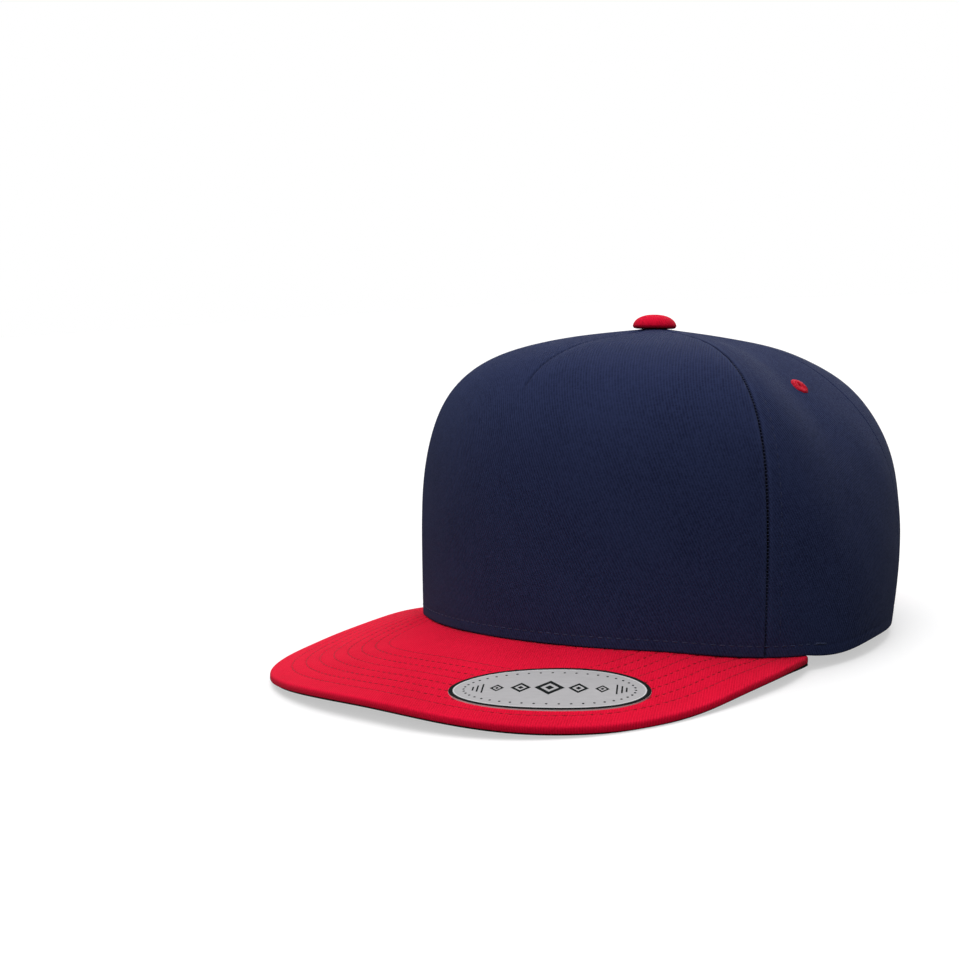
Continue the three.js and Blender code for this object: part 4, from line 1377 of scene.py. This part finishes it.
# A tongue from its hidden end to its free end, drawn flat, with its relief, and then bent round the back
def tongue(hiddenArc, tipArc, depthAt, holes, collars, way):
    half = strap["height"] / 2
    centre = tipArc + way * half  # centre of the round end
    straight = hiddenArc - way * np.arange(0, abs(centre - hiddenArc), strap["step"])
    turn = np.linspace(0, 1, 34) ** 0.9 * math.radians(88)
    arc = np.concatenate([straight, centre - way * half * np.sin(turn)])
    halfHeight = np.concatenate([np.full(len(straight), half), half * np.cos(turn)])
    level = np.linspace(-1, 1, int(strap["height"] / strap["step"]) + 1)
    near = np.array([0.008, 0.02, 0.04])
    level = np.sort(np.concatenate([level, near - 1, 1 - near]))
    x = np.broadcast_to(arc, (len(level), len(arc))).copy()
    y = level[:, None] * halfHeight
    kept = np.ones((len(level) - 1, len(arc) - 1), bool)
    midX = (x[:-1, :-1] + x[1:, 1:]) / 2
    midY = (y[:-1, :-1] + y[1:, 1:]) / 2
    for hole in holes:
        kept &= np.hypot(midX - hole, midY) > strap["hole"]
    cut = np.zeros(x.shape, bool)
    whole = np.zeros(x.shape, bool)
    for i, j in ((0, 0), (0, 1), (1, 0), (1, 1)):
        cut[i:i + kept.shape[0], j:j + kept.shape[1]] |= ~kept
        whole[i:i + kept.shape[0], j:j + kept.shape[1]] |= kept
    for hole in holes:  # the corners round each hole are drawn onto its circle
        out = np.hypot(x - hole, y)
        close = cut & whole & (out < strap["hole"] * 1.5)
        scale = np.where(close, strap["hole"] / np.maximum(out, 1e-6), 1)
        x, y = hole + (x - hole) * scale, y * scale
    beyond = np.maximum(0, way * (centre - x))
    distance = half - np.hypot(beyond, y)
    relief = np.zeros(x.shape)
    for line in (strap["rimLine"], strap["rimGroove"]):
        relief += ridge(distance - line["in"], line)
    if len(holes):
        past = np.maximum(0, np.maximum(way * (holes[-1] - x), way * (x - holes[0])))
        relief += ridge(np.hypot(past, y) - strap["track"]["out"], strap["track"])
    for spot in collars:
        relief += ridge(np.hypot(x - spot, y) - strap["collar"]["out"], strap["collar"])
    depth = depthAt(x)
    outer = strapPoint(x, y, depth + roundedDepth(distance, strap["edgeRound"]) - relief)
    inner = strapPoint(x, y, depth + strap["thickness"] - roundedDepth(distance, strap["backRound"]))
    points = np.concatenate([outer.reshape(-1, 3), inner.reshape(-1, 3)])
    faces = shellFaces(*x.shape, kept)
    if way > 0:
        faces = faces[:, ::-1]
    used = np.unique(faces)
    order = np.zeros(len(points), int)
    order[used] = np.arange(len(used))
    flat = withZero(x, y).reshape(-1, 3)
    return points[used], [order[faces]], np.concatenate([flat, flat])[used]


def pegShapes():
    look = strap["peg"]
    top = look["neck"] + look["height"]
    dome = [(look["head"] * math.cos(a), look["neck"] + 0.12 + (look["height"] - 0.12) * math.sin(a) ** 1.25)
            for a in np.linspace(0.1, 1.45, 9)]
    outline = np.array([(look["stem"] + 0.35, -0.3), (look["stem"] + 0.3, 0.02), (look["stem"], 0.3),
                        (look["stem"], look["neck"] - 0.1), (look["head"] - 0.12, look["neck"] - 0.05),
                        (look["head"], look["neck"] + 0.06), *dome, (0.12, top)])
    shapes = []
    for arc in pegArcs:
        rise = riseAtHeight(strap["lift"] + strap["height"] / 2)
        normal = crownNormal(azimuthAtArc(arc), rise)
        centre = strapPoint(np.array(arc), np.array(0.0), tuckedDepth(arc))
        shapes.append(turnedShape(outline, 28, centre, normal))
    return shapes


strapShapes = {
    "strap_with_holes": [
        tongue(tuckArc, snapArcs[-1] - strap["endPast"], overlapDepth, snapArcs, snapArcs, 1),
    ],
    "strap_with_pegs": [
        tongue(-tuckArc, pegArcs[0] + strap["innerPast"], tuckedDepth, (), pegArcs[strap["engaged"]:], -1),
        *pegShapes(),
    ],
}
for name, shapes in strapShapes.items():
    points, faces, places = joinParts(shapes)
    mesh = makeMesh(f"{name}_plastic", points, faces, {"weaveAt": places})
    addPiece(mesh, finish["plastic"], [name], creaseAngle=50)

# Foil sticker on the visor

sticker = {
    "length": 67.4,
    "width": 34.9,
    "inFromSide": 46.7,
    "ahead": 28.6,
    "turn": 37.1,
    "low": -0.2,
    "high": 0.32,
    "rim": 1.5,
    "line": 0.5,
    "dots": 44,
    "dotRadius": 0.42,
    "dotOval": (28.6, 13.0),
    "printLift": 0.035,
    "printSink": 0.05,
    "diamonds": ((-17.5, 2.4), (-9.6, 3.4), (0.0, 5.0), (9.6, 3.4), (17.5, 2.4)),
    "diamondShape": 1.15,
    "bars": ((22.3, 3.6), (24.0, 2.6), (25.5, 1.6)),
    "barWidth": 0.55,
}


def onSticker(u, v, lift):
    turn = math.radians(sticker["turn"])
    x = cap["halfWidth"] + visor["flare"] - sticker["inFromSide"] + u * math.cos(turn) - v * math.sin(turn)
    y = -cap["front"] - sticker["ahead"] + u * math.sin(turn) + v * math.cos(turn)
    return np.stack([x, y, rimHeight(x, y) + lift + boardRipple(x, y)], -1)


# A thin print laid on the foil: the top and sides of a flat outline, or of the band between two outlines
def printed(outline, inner=None):
    points = []
    for run in (outline,) if inner is None else (outline, inner):
        u, v = np.transpose(run)
        points.append(onSticker(u, v, sticker["high"] + sticker["printLift"]))
        points.append(onSticker(u, v, sticker["high"] - sticker["printSink"]))
    count = len(outline)
    j = np.arange(count)
    k = (j + 1) % count
    side = np.stack([k, j, j + count, k + count], -1)
    faces = [j[None], side]
    if inner is not None:
        top = np.stack([j, k, k + 2 * count, j + 2 * count], -1)
        faces = [top, side, side[:, [1, 0, 3, 2]] + 2 * count]
    points = np.concatenate(points)
    return points, faces, np.zeros_like(points)


def ovalRun(halfLength, halfWidth, count=128):
    angle = np.linspace(0, 2 * np.pi, count, endpoint=False)
    return np.stack([halfLength * np.cos(angle), halfWidth * np.sin(angle)], 1)


# The foil's oval and what is printed on it; finish 0 is the foil, 1 the black and 2 the light print
def stickerMesh():
    a, b = sticker["length"] / 2, sticker["width"] / 2
    sides, rings = 128, 18
    share = np.concatenate([np.linspace(0.02, 1, rings), [1.0, 0.97]])
    high, low = sticker["high"], sticker["low"]
    lift = np.array([high] * (rings - 1) + [high - 0.03, low, low])
    angle = np.linspace(0, 2 * np.pi, sides, endpoint=False)
    u = share[:, None] * a * np.cos(angle)
    v = share[:, None] * b * np.sin(angle)
    base = onSticker(u, v, lift[:, None]).reshape(-1, 3)
    ring = np.arange(sides)
    faces = [tubeFaces(len(share), sides)[:, ::-1], ring[None], ((len(share) - 1) * sides + ring[::-1])[None]]
    parts = [(base, faces, withZero(u, v).reshape(-1, 3))]
    rim, line = sticker["rim"], sticker["line"]
    prints = [(1, ovalRun(a - 0.05, b - 0.05), ovalRun(a - rim, b - rim)),
              (2, ovalRun(a - rim, b - rim), ovalRun(a - rim - line, b - rim - line))]
    for dot in ovalRun(*sticker["dotOval"], sticker["dots"]):
        prints.append((1, dot + ovalRun(sticker["dotRadius"], sticker["dotRadius"], 14), None))
    for middle, size in sticker["diamonds"]:
        tall = size * sticker["diamondShape"]
        corners = np.array([(size, 0), (0, tall), (-size, 0), (0, -tall)])
        shape, hollow, core = (corners * share + (middle, 0) for share in (1, 0.62, 0.3))
        prints += [(1, shape, hollow), (1, core, None)]
    for out, half in sticker["bars"]:
        for side in (-1, 1):
            start, end = (side * out + way * sticker["barWidth"] / 2 for way in (-1, 1))
            prints.append((1, [(start, -half), (end, -half), (end, half), (start, half)], None))
    parts += [printed(outline, inner) for kind, outline, inner in prints]
    finishOf = []
    for kind, part in zip([0] + [kind for kind, outline, inner in prints], parts):
        finishOf += [kind] * sum(len(group) for group in part[1])
    points, faces, places = joinParts(parts)
    mesh = makeMesh("visor_sticker_foil", points, faces, {"weaveAt": places})
    mesh.polygons.foreach_set("material_index", np.array(finishOf, np.int32))
    return mesh


stickerFinishes = [finish["foil"], finish["printBlack"], finish["printLight"]]
addPiece(stickerMesh(), stickerFinishes, ["visor_sticker"], creaseAngle=40)

# Floor, light and camera

camera = {
    "place": (0.40555, -0.4806, 0.14634),
    "azimuth": 41.018,
    "elevation": 7.393,
    "roll": -2.603,
    "lens": 61.362,
    "sensor": 36,
    "shift": -0.1043,  # the cap stands right of the picture's middle
}
studio = {
    "floorSize": 9.0,
    "floor": (0.5, 0.5, 0.503, 1),
    "floorGlow": (0.5, 0.5, 0.5, 1),  # keeps the floor pale under the cap
    "floorMottle": (0.47, 0.47, 0.47, 1),
    "floorBounce": (0.12, 0.12, 0.12, 1),  # dark to the cap, so that little light comes up from below
    "backdrop": (1.0, 1.0, 1.0, 1),
    "ambient": 0.17,
    "lamps": {  # where each one stands, as a direction, its spread in degrees and its strength
        "overheadLamp": ((-0.15, -0.05, 1.25), 60, 2.5),
        "frontLamp": ((0.55, -0.85, 0.8), 50, 0.75),
        "rearLamp": ((-0.3, 1.0, 0.45), 50, 1.35),
    },
}


def makeCamera():
    data = bpy.data.cameras.new("photoCamera")
    data.lens = camera["lens"]
    data.sensor_width = camera["sensor"]
    data.shift_x = camera["shift"]
    data.clip_start = 0.01
    data.clip_end = 50
    eye = newObject("photoCamera", data)
    a, e, roll = (math.radians(camera[k]) for k in ("azimuth", "elevation", "roll"))
    back = np.array([math.sin(a) * math.cos(e), -math.cos(a) * math.cos(e), math.sin(e)])
    level = np.array([math.cos(a), math.sin(a), 0])
    upright = np.cross(back, level)
    right = level * math.cos(roll) + upright * math.sin(roll)
    up = np.cross(back, right)
    turn = Matrix(np.stack([right, up, back], 1).tolist()).to_4x4()
    eye.matrix_world = Matrix.Translation(camera["place"]) @ turn
    bpy.context.scene.camera = eye


def makeStudio():
    half = studio["floorSize"] / 2
    mesh = bpy.data.meshes.new("studioFloor")
    corners = [(-half, -half, 0), (half, -half, 0), (half, half, 0), (-half, half, 0)]
    mesh.from_pydata(corners, [], [(0, 1, 2, 3)])
    floor = newObject("studioFloor", mesh)
    material, tree, shader = newMaterial("studioFloor", {"Roughness": 0.9, "Specular IOR Level": 0.0})
    noise = addNode(tree, "ShaderNodeTexNoise", {"Scale": 3.0, "Detail": 2.0})
    share = mapRange(tree, noise.outputs["Fac"], 0.3, 0.7, 0, 0.03)
    colour = mixColour(tree, share, studio["floor"], studio["floorMottle"])
    seen = addNode(tree, "ShaderNodeLightPath").outputs["Is Camera Ray"]
    tree.links.new(mixColour(tree, seen, studio["floorBounce"], colour), shader.inputs["Base Color"])
    tree.links.new(mixColour(tree, seen, (0, 0, 0, 1), studio["floorGlow"]), shader.inputs["Emission Color"])
    shader.inputs["Emission Strength"].default_value = 1.0
    mesh.materials.append(material)
    world = bpy.data.worlds.new("studio")
    bpy.context.scene.world = world
    world.use_nodes = True
    tree = world.node_tree
    sky = next(n for n in tree.nodes if n.type == "BACKGROUND")
    sky.inputs["Color"].default_value = studio["backdrop"]
    seen = addNode(tree, "ShaderNodeLightPath").outputs["Is Camera Ray"]
    tree.links.new(mapRange(tree, seen, 0, 1, studio["ambient"], 1.0), sky.inputs["Strength"])
    for name, (place, spread, strength) in studio["lamps"].items():
        lamp = bpy.data.lights.new(name, "SUN")
        lamp.angle = math.radians(spread)
        lamp.energy = strength
        holder = newObject(name, lamp)
        holder.location = place
        holder.rotation_mode = "QUATERNION"
        holder.rotation_quaternion = (-Vector(place)).to_track_quat("-Z", "Y")
    bpy.context.scene.view_settings.view_transform = "Standard"


makeCamera()
makeStudio()
print("studio ready")
